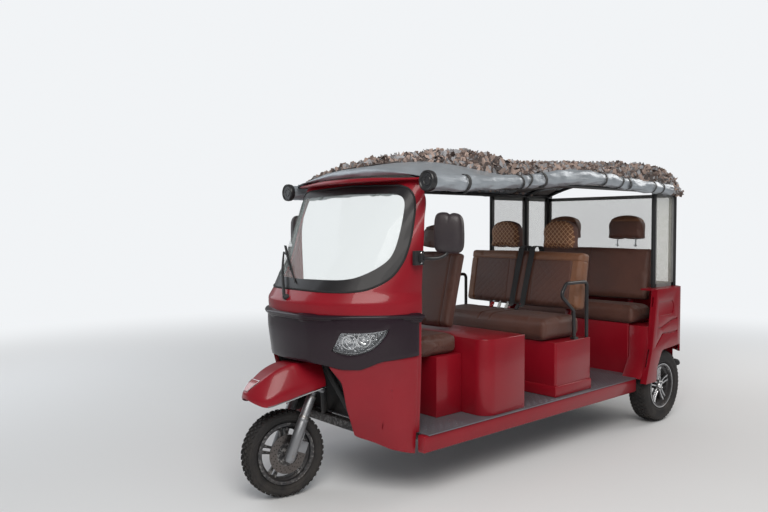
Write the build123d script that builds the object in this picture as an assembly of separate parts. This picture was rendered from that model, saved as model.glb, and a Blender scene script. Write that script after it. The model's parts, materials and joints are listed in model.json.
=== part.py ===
from build123d import *
import os
from math import cos, radians, sin, tan

os.makedirs("parts", exist_ok=True)

# Electric auto rickshaw with three rows of seats, open sides and one steered wheel in front.
# It faces -Y, with +X to its own left and Z up from the ground, all in millimetres.
# The origin is on the ground under the middle of its length. A distance called "ahead" is
# measured forward from the rear axle.

# Layout of the whole vehicle
wheelbase = 2935.0
tail_reach = 325.0
lamp_proud = 14.0
bumper_proud = 34.0
sill_half_width = 610.0
body_half_width = 685.0
floor_top = 360.0
floor_thickness = 6.0
floor_back = 302.0
frame_top = floor_top - floor_thickness
frame_width = 50.0
frame_depth = 51.0
frame_back = -300.0
rail_x = 300.0
nose_member = 2535.0
outriggers = (330.0, 820.0, 1400.0, 1950.0, 2370.0)
sill_width = 50.0
sill_depth = 92.0
rail_height = 1725.0
panel_gap = 1.0

# Wheels and tyres
rear_tyre_radius = 268.0
rear_tyre_width = 145.0
rear_wheel_outer_x = 660.0
front_tyre_radius = 233.0
front_tyre_width = 118.0
rim_flange_radius = 166.0
rim_wall = 6.0
tyre_wall = 14.0
spoke_pairs = 5
axle_radius = 15.0
beam_radius = 30.0
case_radius = 84.0
motor_radius = 78.0
hub_half = 50.0
front_axle_radius = 9.0

# The front tyre's tread and the bumper are the two ends of the vehicle
rear_end = tail_reach + bumper_proud
rear_axle_y = (front_tyre_radius + wheelbase + rear_end) / 2 - rear_end
front_axle_y = rear_axle_y - wheelbase

# Front fork and steering
steer_rake = 25.0
steer_rest = -9.0
fork_offset = 30.0
fork_half_spread = 94.0
fork_slider_radius = 29.0
fork_sleeve_top = 335.0
fork_tube_radius = 20.0
head_tube_low = 400.0
head_tube_high = 590.0
brace_radius = 19.0
stem_radius = 20.0
running_clearance = 0.05

# Cab: height, front's distance ahead, half width at the front, half width at the back, corner
ledge_height = 985.0
roof_cap_height = 1712.0
cab_sections = [
    (235.0, 2790.0, 475.0, 565.0, 300.0),
    (500.0, 2885.0, 500.0, 570.0, 330.0),
    (ledge_height - 225, 2945.0, 515.0, 575.0, 350.0),
    (ledge_height + 80, 2950.0, 515.0, 575.0, 350.0),
    (ledge_height + 130, 2905.0, 510.0, 575.0, 325.0),
    (roof_cap_height + 3, 2460.0, 590.0, 610.0, 120.0),
]
cab_section_back = 2200.0
cab_back = 2445.0
cab_wall = 22.0
pillar_strip = 25.0
ledge_thickness = 20.0
ledge_reach = 38.0
panel_proud = 6.0
screen_low = ledge_height + 135
screen_high = roof_cap_height - 24
screen_top_half = 505.0
frit_width = 48.0
glass_thickness = 6.0
arch_half_width = 400.0
arch_top = 762.0
arch_depth = 2500.0
liner_thickness = 6.0
roof_cap_rise = 34.0
lamp_heading = 60.0
lamp_corner = (165.0, 2600.0)
# Lamp outline: across the lamp, and how far below the ledge
lamp_outline = [(-151.0, 168.0), (-106.0, 73.0), (10.0, 73.0), (151.0, 55.0), (78.0, 147.0), (-48.0, 191.0),
                (-108.0, 185.0)]
mirror_centre = (700.0, 2368.0, 1430.0)
mirror_turn = 30.0

# Seats
bench_half_width = 560.0
box_wall = 12.0
middle_base_front = 1235.0
middle_base_back = 840.0
middle_base_top = 712.0
rear_base_front = 205.0
rear_base_half = 488.0
rear_base_top = 735.0
driver_base_front = 2150.0
driver_base_half = 400.0
driver_base_top = 712.0
bulkhead_front = 1940.0
bulkhead_back = 1580.0
bulkhead_top = 808.0
rear_base_back = -58.0
bar_thickness = 8.0
# Backrests: foot ahead, low, high, lean in degrees, thickness at the foot and at the top
middle_back = (912.0, 866.0, 1300.0, 10.0, 137.0, 84.0)
rear_back = (20.0, 876.0, 1306.0, 10.0, 85.0, 85.0)
driver_back = (1880.0, bulkhead_top, 1320.0, 14.0, 80.0, 80.0)

# Roof
roof_half_width = 590.0
roof_tube_radius = 16.0
bow_radius = 14.0
roof_front = 2440.0
roof_back = -325.0
rear_pillar = 40.0
back_pillar = roof_back + 48
far_pillar = 500.0
canopy_rise = 115.0
canopy_thickness = 8.0
# Heaped net: distance ahead, thickness
net_heaps = [(2380.0, 22.0), (2130.0, 52.0), (1840.0, 88.0), (1520.0, 60.0), (1180.0, 55.0), (840.0, 60.0),
             (500.0, 74.0), (210.0, 98.0), (-60.0, 130.0), (roof_back, 108.0)]
roll_radius = 52.0
roll_front = 2495.0

# Body behind the doorways
tow_bore_radius = 11.0
plate_hole_radius = 3.5
plate_hole_spacing = 150.0
waist_height = 1000.0
side_wall = 14.0
tail_thickness = 14.0
side_foot = 325.0
well_wall_x = rear_wheel_outer_x - rear_tyre_width - 12.0
well_top = rear_base_top - 8
tail_corner = 160.0
tail_half = body_half_width - tail_corner
flange_width = 31.0
press_depth = 6.0
swage_width = 13.0
# Edge of the doorway at the tail, pressed lines over the wheel arch: ahead, height
doorway_edge = [(150.0, waist_height), (218.0, 560.0), (300.0, side_foot)]
waist_swage = [(130.0, 717.0), (88.0, 716.0), (-85.0, 765.0), (-150.0, 767.0)]
arch_swage = [(165.0, 582.0), (61.0, 672.0), (-52.0, 668.0), (-155.0, 671.0)]


def station(ahead):
    return rear_axle_y - ahead


def block(x0, x1, ahead_back, ahead_front, z0, z1):
    y0, y1 = station(ahead_front), station(ahead_back)
    return Pos((x0 + x1) / 2, (y0 + y1) / 2, (z0 + z1) / 2) * Box(x1 - x0, y1 - y0, z1 - z0)


def both_sides(solid):
    return Compound(children=[solid, mirror(solid, about=Plane.YZ)])


def rounded_face(points, corners):
    """Closed outline of straight lines, some corners of which are rounded: (corner, radius)."""
    face = make_face(Polyline(*points, close=True))
    for (u, v), radius in corners:
        nearest = face.vertices().sort_by_distance((u, v, 0))[0]
        face = fillet([nearest], radius)
    return face


def side_prism(points, x0, x1, corners=()):
    """Outline in the side view, given as (ahead, height), drawn out from x0 to x1."""
    plane = Plane(origin=(x0, 0, 0), x_dir=(0, 1, 0), z_dir=(1, 0, 0))
    flat = [(station(ahead), z) for ahead, z in points]
    rounded = [((station(ahead), z), radius) for (ahead, z), radius in corners]
    return extrude(plane * rounded_face(flat, rounded), x1 - x0)


def front_prism(points, ahead_back, ahead_front, corners=()):
    """Outline in the front view, given as (x, height), drawn back from ahead_front."""
    plane = Plane(origin=(0, station(ahead_front), 0), x_dir=(1, 0, 0), z_dir=(0, -1, 0))
    return extrude(plane * rounded_face(points, corners), -(ahead_front - ahead_back))


def straight_tube(start, end, radius):
    """Round bar between two points given as (x, ahead, height)."""
    a = Vector(start[0], station(start[1]), start[2])
    b = Vector(end[0], station(end[1]), end[2])
    return extrude(Plane(origin=a, z_dir=(b - a)) * Circle(radius), (b - a).length)


def bent_tube(points, bend, radius):
    """Round bar through points given as (x, ahead, height), with one bend radius."""
    path = FilletPolyline(*[(x, station(ahead), z) for x, ahead, z in points], radius=bend)
    return sweep(Plane(origin=path.position_at(0), z_dir=path.tangent_at(0)) * Circle(radius), path)


# Cab

cab_shapes = {}


def cab_shape(inset):
    """The whole cab as one solid, moved in from its outside by inset."""
    if inset not in cab_shapes:
        faces = []
        for height, front, half_front, half_back, corner in cab_sections:
            y0, y1 = station(front - inset), station(cab_section_back)
            outline = [(inset - half_back, y1), (inset - half_front, y0),
                       (half_front - inset, y0), (half_back - inset, y1)]
            face = make_face(Polyline(*outline, close=True))
            face = fillet(face.vertices().sort_by(Axis.Y)[:2], corner - inset)
            faces.append(Pos(0, 0, height) * face)
        cab_shapes[inset] = loft(faces, ruled=True)
    return cab_shapes[inset]


def cab_solid(inset, low, high, back=cab_back, front=3100.0):
    return cab_shape(inset) & block(-900, 900, back, front, low, high)


def cab_skin(outer_inset, inner_inset, low, high, back=cab_back, front=3100.0):
    skin = cab_shape(outer_inset) - cab_shape(inner_inset)
    return skin & block(-900, 900, back, front, low, high)


def screen_cutter(margin):
    """Space of the windscreen opening, drawn in by margin: its side view and front view together."""
    low, high, top = screen_low + margin, screen_high - margin, screen_top_half - margin
    nose, hip, waist = 2790 + margin, (2625 + margin, low + 62), (2525 + margin, screen_high - 343)
    outline = [(3100, low), (nose, low), hip, waist, (2450 + margin, screen_high - 128),
               (2400 + margin, high), (3100, high)]
    side = side_prism(outline, -700, 700, [((nose, low), 250.0), (hip, 120.0), (waist, 250.0)])
    foot, jamb = screen_low - 70, screen_low + 130
    front = front_prism([(-640, foot), (640, foot), (640, jamb), (top, high), (-top, high), (-640, jamb)],
                        2300, 3100, [((top, high), 80.0), ((-top, high), 80.0)])
    return side & front


def panel_zone(drop):
    """Band of the black front panel: from its waved lower edge, dropped by drop, to the ledge."""
    low = ledge_height - 271 - drop
    dip, swell, nose = (2690, low + 46), (2790, low), (2860, low)
    points = [(2400, low + 71), dip, swell, nose, (2960, low + 36), (3100, low + 36),
              (3100, ledge_height), (2400, ledge_height)]
    return side_prism(points, -700, 700, [(dip, 200.0), (swell, 60.0), (nose, 60.0)])


def lamp_prism(margin, depth):
    """Teardrop outline of the left headlamp, drawn out through the cab's rounded corner."""
    x, ahead = lamp_corner
    heading = radians(lamp_heading)
    plane = Plane(origin=(x, station(ahead), 0), x_dir=(cos(heading), sin(heading), 0),
                  z_dir=(sin(heading), -cos(heading), 0))
    inner_low, inner_top, brow, tip, belly, low, toe = [(u, ledge_height - drop) for u, drop in lamp_outline]
    face = make_face([Line(inner_low, inner_top), ThreePointArc(inner_top, brow, tip),
                      ThreePointArc(tip, belly, low), ThreePointArc(low, toe, inner_low)])
    if margin:
        face = offset(face, margin)
    return extrude(plane * face, depth)


def cab_cowl():
    shell = cab_skin(0, cab_wall, 235, ledge_height) - panel_zone(0)
    half, shoulder = arch_half_width, arch_half_width - 70
    arch = front_prism([(-half, 100), (half, 100), (half, arch_top - 120), (shoulder, arch_top),
                        (-shoulder, arch_top), (-half, arch_top - 120)], 2600, 3100,
                       [((half, arch_top - 120), 80.0), ((-half, arch_top - 120), 80.0)])
    foot = side_prism([(2400, 100), (2400, 240), (2600, 275), (2740, 330), (2860, 400), (3100, 470),
                       (3100, 100)], -700, 700)
    return shell - arch - foot


def cab_front_panel():
    shell = cab_skin(-panel_proud, cab_wall, ledge_height - 335, ledge_height) & panel_zone(-panel_gap)
    lamps = lamp_prism(panel_gap, 600)
    return shell - lamps - mirror(lamps, about=Plane.YZ)


def ledge_trim():
    return cab_skin(-ledge_reach, cab_wall, ledge_height, ledge_height + ledge_thickness)


def cab_surround():
    return cab_skin(0, cab_wall, ledge_height + ledge_thickness, roof_cap_height) - screen_cutter(0)


def windscreen_frame():
    skin = cab_skin(-2, glass_thickness, screen_low - 60, roof_cap_height)
    return (skin & screen_cutter(0)) - screen_cutter(frit_width)


def windscreen_glass():
    return cab_skin(glass_thickness, 2 * glass_thickness, screen_low - 60, roof_cap_height) & screen_cutter(0)


def pillar_strips():
    return cab_skin(4, cab_wall, floor_top, screen_high, cab_back - pillar_strip, cab_back)


def headlamp_bowls():
    """Deep bright bowls behind the lenses, open to the front."""
    foot = ledge_height - 285
    bowl = lamp_prism(0, 600) & cab_skin(14, 85, foot, ledge_height)
    return both_sides(bowl - (lamp_prism(-8, 600) & cab_skin(0, 70, foot, ledge_height)))


def headlamp_lenses():
    return both_sides(lamp_prism(0, 600) & cab_skin(-3, 14, ledge_height - 285, ledge_height))


def wheel_arch_liner():
    half, top, t = arch_half_width - 12, arch_top + 50, liner_thickness
    outer = front_prism([(-half, floor_top), (half, floor_top), (half, top - 120), (half - 120, top),
                         (120 - half, top), (-half, top - 120)], arch_depth, 2850)
    inner = front_prism([(t - half, 300), (half - t, 300), (half - t, top - 120), (half - 120, top - t),
                         (120 - half, top - t), (t - half, top - 120)], arch_depth + t, 2900)
    stem_hole = steer_frame() * (Pos(0, 0, 500) * Cylinder(75, 700))
    return (outer - inner - stem_hole) & cab_solid(cab_wall, floor_top, 900)


# Steering geometry: the axis leans back by the rake, and the wheel's axle is carried ahead of it

def steer_frame():
    rake = radians(steer_rake)
    foot_y = front_axle_y + fork_offset * cos(rake)
    foot_z = front_tyre_radius - fork_offset * sin(rake)
    return Plane(origin=(0, foot_y, foot_z), x_dir=(1, 0, 0), z_dir=(0, sin(rake), cos(rake))).location


def steer_axis():
    place = Plane(steer_frame())
    return Axis(origin=place.origin, direction=place.z_dir)


def parked(solid):
    """Turns a steered piece from straight ahead to its parked angle, with the tyre on the ground."""
    axis = steer_axis()
    if "slide" not in front_rest:
        tyre = Pos(0, front_axle_y, front_tyre_radius) * wheel_tyre(front_tyre_radius, front_tyre_width)
        lift = -tyre.rotate(axis, steer_rest).bounding_box().min.Z
        front_rest["slide"] = axis.direction * (lift / axis.direction.Z)
    return Pos(*front_rest["slide"]) * solid.rotate(axis, steer_rest)


front_rest = {}


# Wheels

def wheel_tyre(radius, width):
    """Tyre about the X axis through the origin, open towards the rim."""
    bead, lip = rim_flange_radius - 10, rim_flange_radius + 2

    def outline(wall):
        h, r, foot = width / 2 - wall, radius - wall, width / 2 - 20.5 - wall
        middle, shoulder = (lip + r) / 2, r - 15
        return make_face(Polyline((-foot, bead), (foot, bead), (foot, lip), (h, middle), (h - 7, shoulder),
                                  (h - 26, r - 2.5), (0, r), (26 - h, r - 2.5), (7 - h, shoulder), (-h, middle),
                                  (-foot, lip), close=True))

    return revolve(outline(0) - outline(tyre_wall), Axis.X)


def wheel_rim(width, face_x, hub_half, bore):
    """Alloy wheel about the X axis, its spoked face towards +X at face_x."""
    half, flange = width / 2 - 12, rim_flange_radius
    seat = flange - 10.3
    well = seat - 18
    profile = [(-half, flange), (5 - half, flange), (8 - half, seat), (26 - half, seat - 2), (36 - half, well),
               (half - 36, well), (half - 26, seat - 2), (half - 8, seat), (half - 5, flange), (half, flange),
               (half, seat - 7), (half - 24, seat - 9), (half - 32, well - rim_wall),
               (32 - half, well - rim_wall), (24 - half, seat - 9), (-half, seat - 7)]
    rim = revolve(make_face(Polyline(*profile, close=True)), Axis.X)
    hub = Rot(0, 90, 0) * Cylinder(32, 2 * hub_half)
    boss = Pos(face_x - 14, 0, 0) * Rot(0, 90, 0) * Cylinder(46, 28)
    spokes = []
    for pair in range(spoke_pairs):
        for side in (-1, 1):
            arm = Pos(face_x - 12, side * 17, (well + 26) / 2) * Box(16, 15, well - 34)
            spokes.append(Rot(360 / spoke_pairs * pair, 0, 0) * arm)
    return rim + hub + boss + spokes - Rot(0, 90, 0) * Cylinder(bore, 4 * width)


def rear_wheel(side):
    centre = Pos(side * (rear_wheel_outer_x - rear_tyre_width / 2), rear_axle_y, rear_tyre_radius)
    rim = wheel_rim(rear_tyre_width, 44, hub_half, axle_radius + running_clearance)
    if side < 0:
        rim = mirror(rim, about=Plane.YZ)
    return centre * wheel_tyre(rear_tyre_radius, rear_tyre_width), centre * rim


def front_wheel():
    centre = Pos(0, front_axle_y, front_tyre_radius)
    tyre = centre * wheel_tyre(front_tyre_radius, front_tyre_width)
    rim = centre * wheel_rim(front_tyre_width, 24, 51, front_axle_radius + running_clearance)
    disc = Pos(56, 0, 0) * Rot(0, 90, 0) * (Cylinder(105, 4) - Cylinder(62, 10))
    carrier = Pos(53, 0, 0) * Rot(0, 90, 0) * (Cylinder(66, 4) - Cylinder(front_axle_radius + 1, 10))
    return parked(tyre), Compound(children=[parked(rim), parked(centre * (disc + carrier))])


# Steered parts, built in the steering frame: z along the axis, -y forward

def fork():
    low = head_tube_low - 20
    parts = []
    for side in (-1, 1):
        x = side * fork_half_spread
        parts.append(Pos(x, -fork_offset, 90) * Cylinder(fork_slider_radius, 230))
        parts.append(Pos(x, -fork_offset, -12) * Box(26, 46, 50))
        sleeve = fork_sleeve_top - 205
        parts.append(Pos(x, -fork_offset, 205 + sleeve / 2) * Cylinder(fork_slider_radius - 2, sleeve))
        tube = Cylinder(fork_tube_radius, low - fork_sleeve_top)
        parts.append(Pos(x, -fork_offset, (fork_sleeve_top + low) / 2) * tube)
    parts.append(Pos(0, -fork_offset / 2, low) * Box(2 * fork_half_spread + 56, 84, 30))
    parts.append(Pos(0, -fork_offset, 0) * Rot(0, 90, 0) * Cylinder(front_axle_radius, 2 * fork_half_spread))
    parts.append(Pos(0, 0, (low + head_tube_high + 20) / 2) * Cylinder(stem_radius, head_tube_high + 20 - low))
    return parked(steer_frame() * (parts[0] + parts[1:]))


def handlebar():
    low, high = head_tube_high + 20, 880.0
    stem = Pos(0, 0, (low + high) / 2) * Cylinder(stem_radius - 2, high - low)
    path = FilletPolyline((-330, 150, high + 60), (-200, 60, high + 40), (-90, 0, high), (90, 0, high),
                          (200, 60, high + 40), (330, 150, high + 60), radius=60)
    bar = sweep(Plane(origin=path.position_at(0), z_dir=path.tangent_at(0)) * Circle(11), path)
    return parked(steer_frame() * (stem + bar))


def front_fender():
    """Beak-shaped mudguard over the front wheel: a ridged top with sides that hang down."""
    rows = [
        # ahead, top height, rim height, half width, ridge half width, corner radius
        (3147.0, 582.0, 552.0, 34.0, 16.0, 5.0),
        (3118.0, 612.0, 530.0, 98.0, 42.0, 12.0),
        (3075.0, 643.0, 512.0, 140.0, 60.0, 18.0),
        (3000.0, 692.0, 526.0, 147.0, 76.0, 22.0),
        (2905.0, 722.0, 545.0, 148.0, 86.0, 24.0),
        (2730.0, 718.0, 580.0, 145.0, 88.0, 24.0),
    ]

    def shape(inset):
        faces = []
        for index, (ahead, top, rim, half, ridge, corner) in enumerate(rows):
            end = {0: -inset, len(rows) - 1: -inset}.get(index, 0)
            low, shoulder = rim - 8 * inset, rim + 0.36 * (top - rim)
            points = [(inset - half, low), (inset - half, shoulder), (inset - ridge, top - inset),
                      (ridge - inset, top - inset), (half - inset, shoulder), (half - inset, low)]
            flat = rounded_face(points, [(point, corner) for point in points[1:5]])
            faces.append(Plane(origin=(0, station(ahead + end), 0), x_dir=(1, 0, 0), z_dir=(0, -1, 0)) * flat)
        return loft(faces, ruled=True)

    return parked(shape(0) - shape(6))


def brake_caliper():
    body = Pos(64, 55 - fork_offset, 62) * Box(46, 62, 62)
    slot = Pos(56, -fork_offset, 0) * Rot(0, 90, 0) * Cylinder(112, 14)
    leg = Pos(fork_half_spread, -fork_offset, 90) * Cylinder(fork_slider_radius, 230)
    return parked(steer_frame() * (body - slot - leg))


# Chassis

def head_tube():
    length = head_tube_high - head_tube_low - 10
    return steer_frame() * (Pos(0, 0, (head_tube_low + head_tube_high) / 2) * Cylinder(32, length))


def brace_lines():
    """The two stays that carry the steering head, from the frame's front cross member."""
    top = Plane(steer_frame()).from_local_coords(Vector(0, 20, head_tube_high - 60))
    return [((side * 160, nose_member, frame_top - 20), (side * 12, rear_axle_y - top.Y, top.Z))
            for side in (-1, 1)]


def head_braces():
    stays = [straight_tube(*line, brace_radius) for line in brace_lines()]
    bore = steer_frame() * (Pos(0, 0, head_tube_low) * Cylinder(stem_radius + running_clearance, 900))
    return (stays[0] + stays[1] + head_tube()) - bore - block(-900, 900, 2300, 2600, 200, frame_top)


def frame_rails():
    rail = block(rail_x - frame_width / 2, rail_x + frame_width / 2, frame_back, nose_member + frame_width / 2,
                 frame_top - frame_depth, frame_top)
    return both_sides(rail)


def cross_members():
    """Tubes between the two rails, and outriggers from the rails to the sills."""
    low, half = frame_top - frame_depth, frame_width / 2
    sill = sill_half_width - sill_width
    members = []
    for ahead in (frame_back + half, *outriggers, nose_member):
        members.append(block(half - rail_x, rail_x - half, ahead - half, ahead + half, low, frame_top))
    for ahead in outriggers:
        arm = block(rail_x + half, sill, ahead - half, ahead + half, low, frame_top)
        members += [arm, mirror(arm, about=Plane.YZ)]
    return Compound(children=members)


def floor_plate():
    rear = block(-sill_half_width, sill_half_width, floor_back, cab_back - pillar_strip,
                 frame_top, floor_top)
    front = cab_solid(cab_wall, frame_top, floor_top, cab_back - pillar_strip - 1, arch_depth)
    trunk = block(8 - well_wall_x, well_wall_x - 8, frame_back, floor_back, frame_top, floor_top)
    return rear + front + trunk


def side_sills():
    sill = block(sill_half_width - sill_width, sill_half_width, floor_back, cab_back - pillar_strip,
                 frame_top - sill_depth, frame_top)
    return both_sides(sill)


# Seats

def seat_box(half, back, front, high, corner):
    """Open-bottomed pressed box on the floor, with rounded front corners."""
    low = floor_top
    outer = block(-half, half, back, front, low, high)
    if corner:
        outer = fillet(outer.edges().filter_by(Axis.Z).sort_by(Axis.Y)[:2], corner)
    t = box_wall
    inner = block(t - half, half - t, back + t, front - t, low - 50, high - t)
    if corner > t:
        inner = fillet(inner.edges().filter_by(Axis.Z).sort_by(Axis.Y)[:2], corner - t)
    return outer - inner


def back_bars(base_back, base_top, foot, low, high, lean, foot_thickness, top_thickness):
    """Flat bars up the back of a bench, which carry its backrest."""
    t, back, tip = bar_thickness, foot - foot_thickness, high - 50
    slope = tan(radians(lean)) + (top_thickness - foot_thickness) / (high - low)
    head = back - (tip - low) * slope
    bar = side_prism([(base_back, base_top - 130), (base_back, base_top), (back, low), (head, tip),
                      (head - t, tip), (back - t, low), (base_back - t, base_top),
                      (base_back - t, base_top - 130)], 330, 370)
    return [bar, mirror(bar, about=Plane.YZ)]


def cushion(x0, x1, back, front, low, high, radius):
    pad = block(x0, x1, back, front, low, high)
    return fillet(pad.edges(), radius)


def backrest(half, foot, low, high, lean, foot_thickness, top_thickness, radius=25):
    """Upright pad whose front leans back by lean degrees from its foot to its top."""
    shift = (high - low) * tan(radians(lean))
    pad = side_prism([(foot, low), (foot - shift, high), (foot - shift - top_thickness, high),
                      (foot - foot_thickness, low)], -half, half)
    return fillet(pad.edges(), radius)


def middle_headrests():
    return [cushion(x - 132, x + 132, 672, 764, 1300, 1502, 36) for x in (-243, 243)]


def rear_headrests():
    rests = []
    for x in (-300, 300):
        pad = cushion(x - 148, x + 148, -148, -62, 1357, 1549, 36)
        posts = [straight_tube((x + dx, -95, 1307), (x + dx, -102, 1375), 6) for dx in (-50, 50)]
        rests.append(pad + posts)
    return rests


def seat_belts():
    """Two lap and shoulder belts that lie down the front of the middle backrest."""
    foot, low, high, lean = middle_back[:4]
    slope, start, end = tan(radians(lean)), low + 32, high - 30
    near, far = foot - (start - low) * slope + 0.4, foot - (end - low) * slope + 0.4
    return Compound(children=[side_prism([(near, start), (near + 3, start), (far + 3, end), (far, end)],
                                         x - 24, x + 24) for x in (-45, 45)])


def battery_pack():
    return block(-430, 430, middle_base_back + 30, middle_base_front - 30, floor_top, 590)


# Roof

def roof_slab(low, thickness, half, ahead_front):
    """Domed slab across the roof from one arc to the next, cropped at half its width."""
    edge, high = roof_half_width, low + thickness
    face = make_face([ThreePointArc((-edge, low), (0, low + canopy_rise), (edge, low)),
                      Line((edge, low), (edge, high)),
                      ThreePointArc((edge, high), (0, high + canopy_rise), (-edge, high)),
                      Line((-edge, high), (-edge, low))])
    plane = Plane(origin=(0, station(ahead_front), 0), x_dir=(1, 0, 0), z_dir=(0, -1, 0))
    slab = extrude(plane * face, -(ahead_front - roof_back))
    return slab & block(-half, half, roof_back, ahead_front, low - 1, high + canopy_rise + 1)


def roof_canopy():
    return roof_slab(rail_height + roof_tube_radius, canopy_thickness, roof_half_width, roof_front - 21)


def roof_net():
    """Net heaped on the canopy, its top running straight from one heap's height to the next."""
    low = rail_height + roof_tube_radius + canopy_thickness
    edge = roof_half_width
    heaps = []
    for ahead, thickness in net_heaps:
        plane = Plane(origin=(0, station(ahead), 0), x_dir=(1, 0, 0), z_dir=(0, -1, 0))
        outline = [ThreePointArc((-edge, low), (0, low + canopy_rise), (edge, low)),
                   Line((edge, low), (edge, low + thickness)),
                   ThreePointArc((edge, low + thickness), (0, low + canopy_rise + thickness),
                                 (-edge, low + thickness)),
                   Line((-edge, low + thickness), (-edge, low))]
        heaps.append(plane * make_face(outline))
    half = roof_half_width - 12
    return loft(heaps, ruled=True) & block(-half, half, roof_back - 1, roof_front, low - 1, 2300)


def roof_frame():
    """Two rails along the roof and the arched bows between them, their ends cut to sit on the rails."""
    x, z, r = roof_half_width, rail_height, roof_tube_radius
    rails = [straight_tube((side * x, roof_front - 30, z), (side * x, roof_back, z), r) for side in (-1, 1)]
    bows = []
    for ahead in (roof_front - 60, 1650, 850, rear_pillar, back_pillar):
        y = station(ahead)
        arc = ThreePointArc((-x, y, z), (0, y, z + canopy_rise), (x, y, z))
        bow = sweep(Plane(origin=arc.position_at(0), z_dir=arc.tangent_at(0)) * Circle(bow_radius), arc)
        bows.append(bow - rails[0] - rails[1])
    return Compound(children=rails + bows)


def pillars():
    x, top = roof_half_width, rail_height - roof_tube_radius
    posts = []
    for side in (-1, 1):
        for ahead in (rear_pillar, back_pillar):
            foot, head = (side * x, ahead, waist_height), (side * x, ahead, top)
            posts.append(straight_tube(foot, head, roof_tube_radius))
    posts.append(straight_tube((-x, far_pillar, floor_top), (-x, far_pillar, top), 12))
    return Compound(children=posts)


def clear_curtains():
    """Clear plastic: rear window, a quarter at each rear corner, and the far side behind the middle row."""
    x, top, r = roof_half_width, rail_height - roof_tube_radius, roof_tube_radius
    back, half = back_pillar, x - r
    crown = rail_height + canopy_rise - bow_radius - 2
    window = make_face([Line((-half, waist_height), (half, waist_height)),
                        Line((half, waist_height), (half, top)),
                        ThreePointArc((half, top), (0, crown), (-half, top)),
                        Line((-half, top), (-half, waist_height))])
    plane = Plane(origin=(0, station(back + 2), 0), x_dir=(1, 0, 0), z_dir=(0, -1, 0))
    sheets = [extrude(plane * window, -4)]
    for side in (-1, 1):
        sheets.append(block(side * x - 2, side * x + 2, back + r, rear_pillar - r, waist_height, top))
    sheets.append(block(-x - 2, 2 - x, rear_pillar + r, far_pillar - 12, waist_height, top))
    return Compound(children=sheets)


def curtain_rolls():
    x = roof_half_width + roof_tube_radius + roll_radius
    front, back = (x, roll_front, rail_height - 22), (x, -120, rail_height + 10)
    return both_sides(straight_tube(front, back, roll_radius))


def roof_cap():
    half = roof_half_width + 12
    front, nose, back = station(2470), station(2560), station(2420)
    edge = ThreePointArc((-half, front), (0, nose), (half, front))
    outline = make_face([edge, Line((half, front), (half, back)), Line((half, back), (-half, back)),
                         Line((-half, back), (-half, front))])
    return Pos(0, 0, roof_cap_height) * extrude(outline, roof_cap_rise)


# Rear body

def tail_plan(inset, low, high):
    """The tail's plan as one solid with rounded rear corners, moved in from its outside by inset."""
    half = body_half_width - inset
    solid = block(-half, half, inset - tail_reach, doorway_edge[-1][0], low, high)
    return fillet(solid.edges().filter_by(Axis.Z).sort_by(Axis.Y)[-2:], tail_corner - inset)


def pressed_line(points, width, depth):
    """Cutter for a line pressed into the left side, through points given as (ahead, height)."""
    x = body_half_width - depth / 2 + 1
    steps = []
    for (ahead, z), (next_ahead, next_z) in zip(points, points[1:]):
        run = Vector(0, station(next_ahead) - station(ahead), next_z - z)
        across = Plane(origin=(x, station(ahead), z), x_dir=(1, 0, 0), z_dir=run)
        steps.append(extrude(across * Rectangle(depth + 2, width), run.length))
        steps.append(Pos(x, station(next_ahead), next_z) * Rot(0, 90, 0) * Cylinder(width / 2, depth + 2))
    return steps


def body_sides():
    """Pressed tail sides round the wheel arches, with rounded rear corners and slotted doorway edges."""
    outer_x, inner_x = body_half_width, body_half_width - side_wall
    arch, heel = (70, 548), (140, 430)
    outline = side_prism(doorway_edge + [(152, side_foot), heel, arch, (-205, 566), (-250, 500),
                                         (-tail_reach, 500), (-tail_reach, waist_height)],
                         tail_half, outer_x, [(arch, 50.0), (heel, 30.0)])
    hollow = tail_plan(side_wall, side_foot - 1, waist_height + 1)
    skin = (tail_plan(0, side_foot, waist_height) - hollow) & outline
    recess = side_prism([(132, 803), (132, 909), (-103, 909), (-103, 803)], outer_x - press_depth, outer_x + 5,
                        [((132, 803), 12.0), ((132, 909), 12.0), ((-103, 909), 50.0), ((-103, 803), 50.0)])
    skin -= recess
    for line in (waist_swage, arch_swage):
        skin -= pressed_line(line, swage_width, press_depth)
    edge = doorway_edge + [(ahead - side_wall, z) for ahead, z in reversed(doorway_edge)]
    flange = side_prism(edge, inner_x - flange_width, inner_x)
    for low, high in ((873, 945), (438, 565)):
        flange -= block(inner_x - 22, inner_x - 10, 0, 400, low, high)
    shelf = tail_plan(side_wall, waist_height - side_wall, waist_height)
    shelf &= block(sill_half_width - 60, inner_x, -tail_reach, 145, 900, 1100)
    return both_sides(skin + flange + shelf)


def wheel_wells():
    """Boxes round the rear wheels, closed in front by a plate beside the rear bench."""
    t, front, inner_x = 8.0, rear_base_front, body_half_width - side_wall
    wall = block(well_wall_x - t, well_wall_x, -300, front - t, frame_top, well_top)
    low = well_top - t
    top = block(well_wall_x - t, inner_x, -300, 170, low, well_top)
    top += block(well_wall_x - t, inner_x - flange_width, 169, front, low, well_top)
    back = block(well_wall_x - t, inner_x, -308, -300, 420, well_top)
    plate = side_prism([(front, well_top), (front, 500), (floor_back, frame_top), (floor_back - t, frame_top),
                        (front - t, 496), (front - t, well_top)], well_wall_x - t, inner_x - flange_width)
    box = (wall + top + back) & tail_plan(side_wall, frame_top, well_top)
    return both_sides(box + plate)


def tail_panel():
    half = tail_half - panel_gap
    panel = block(-half, half, -tail_reach, -tail_reach + tail_thickness, 420, waist_height)
    recess = block(-330, 330, -tail_reach - 1, -tail_reach + 4, 520, 900)
    holes = [Pos(side * plate_hole_spacing / 2, station(-tail_reach + 10), 640) * Rot(90, 0, 0)
             * Cylinder(plate_hole_radius, 60) for side in (-1, 1)]
    return panel - recess - holes[0] - holes[1]


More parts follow.
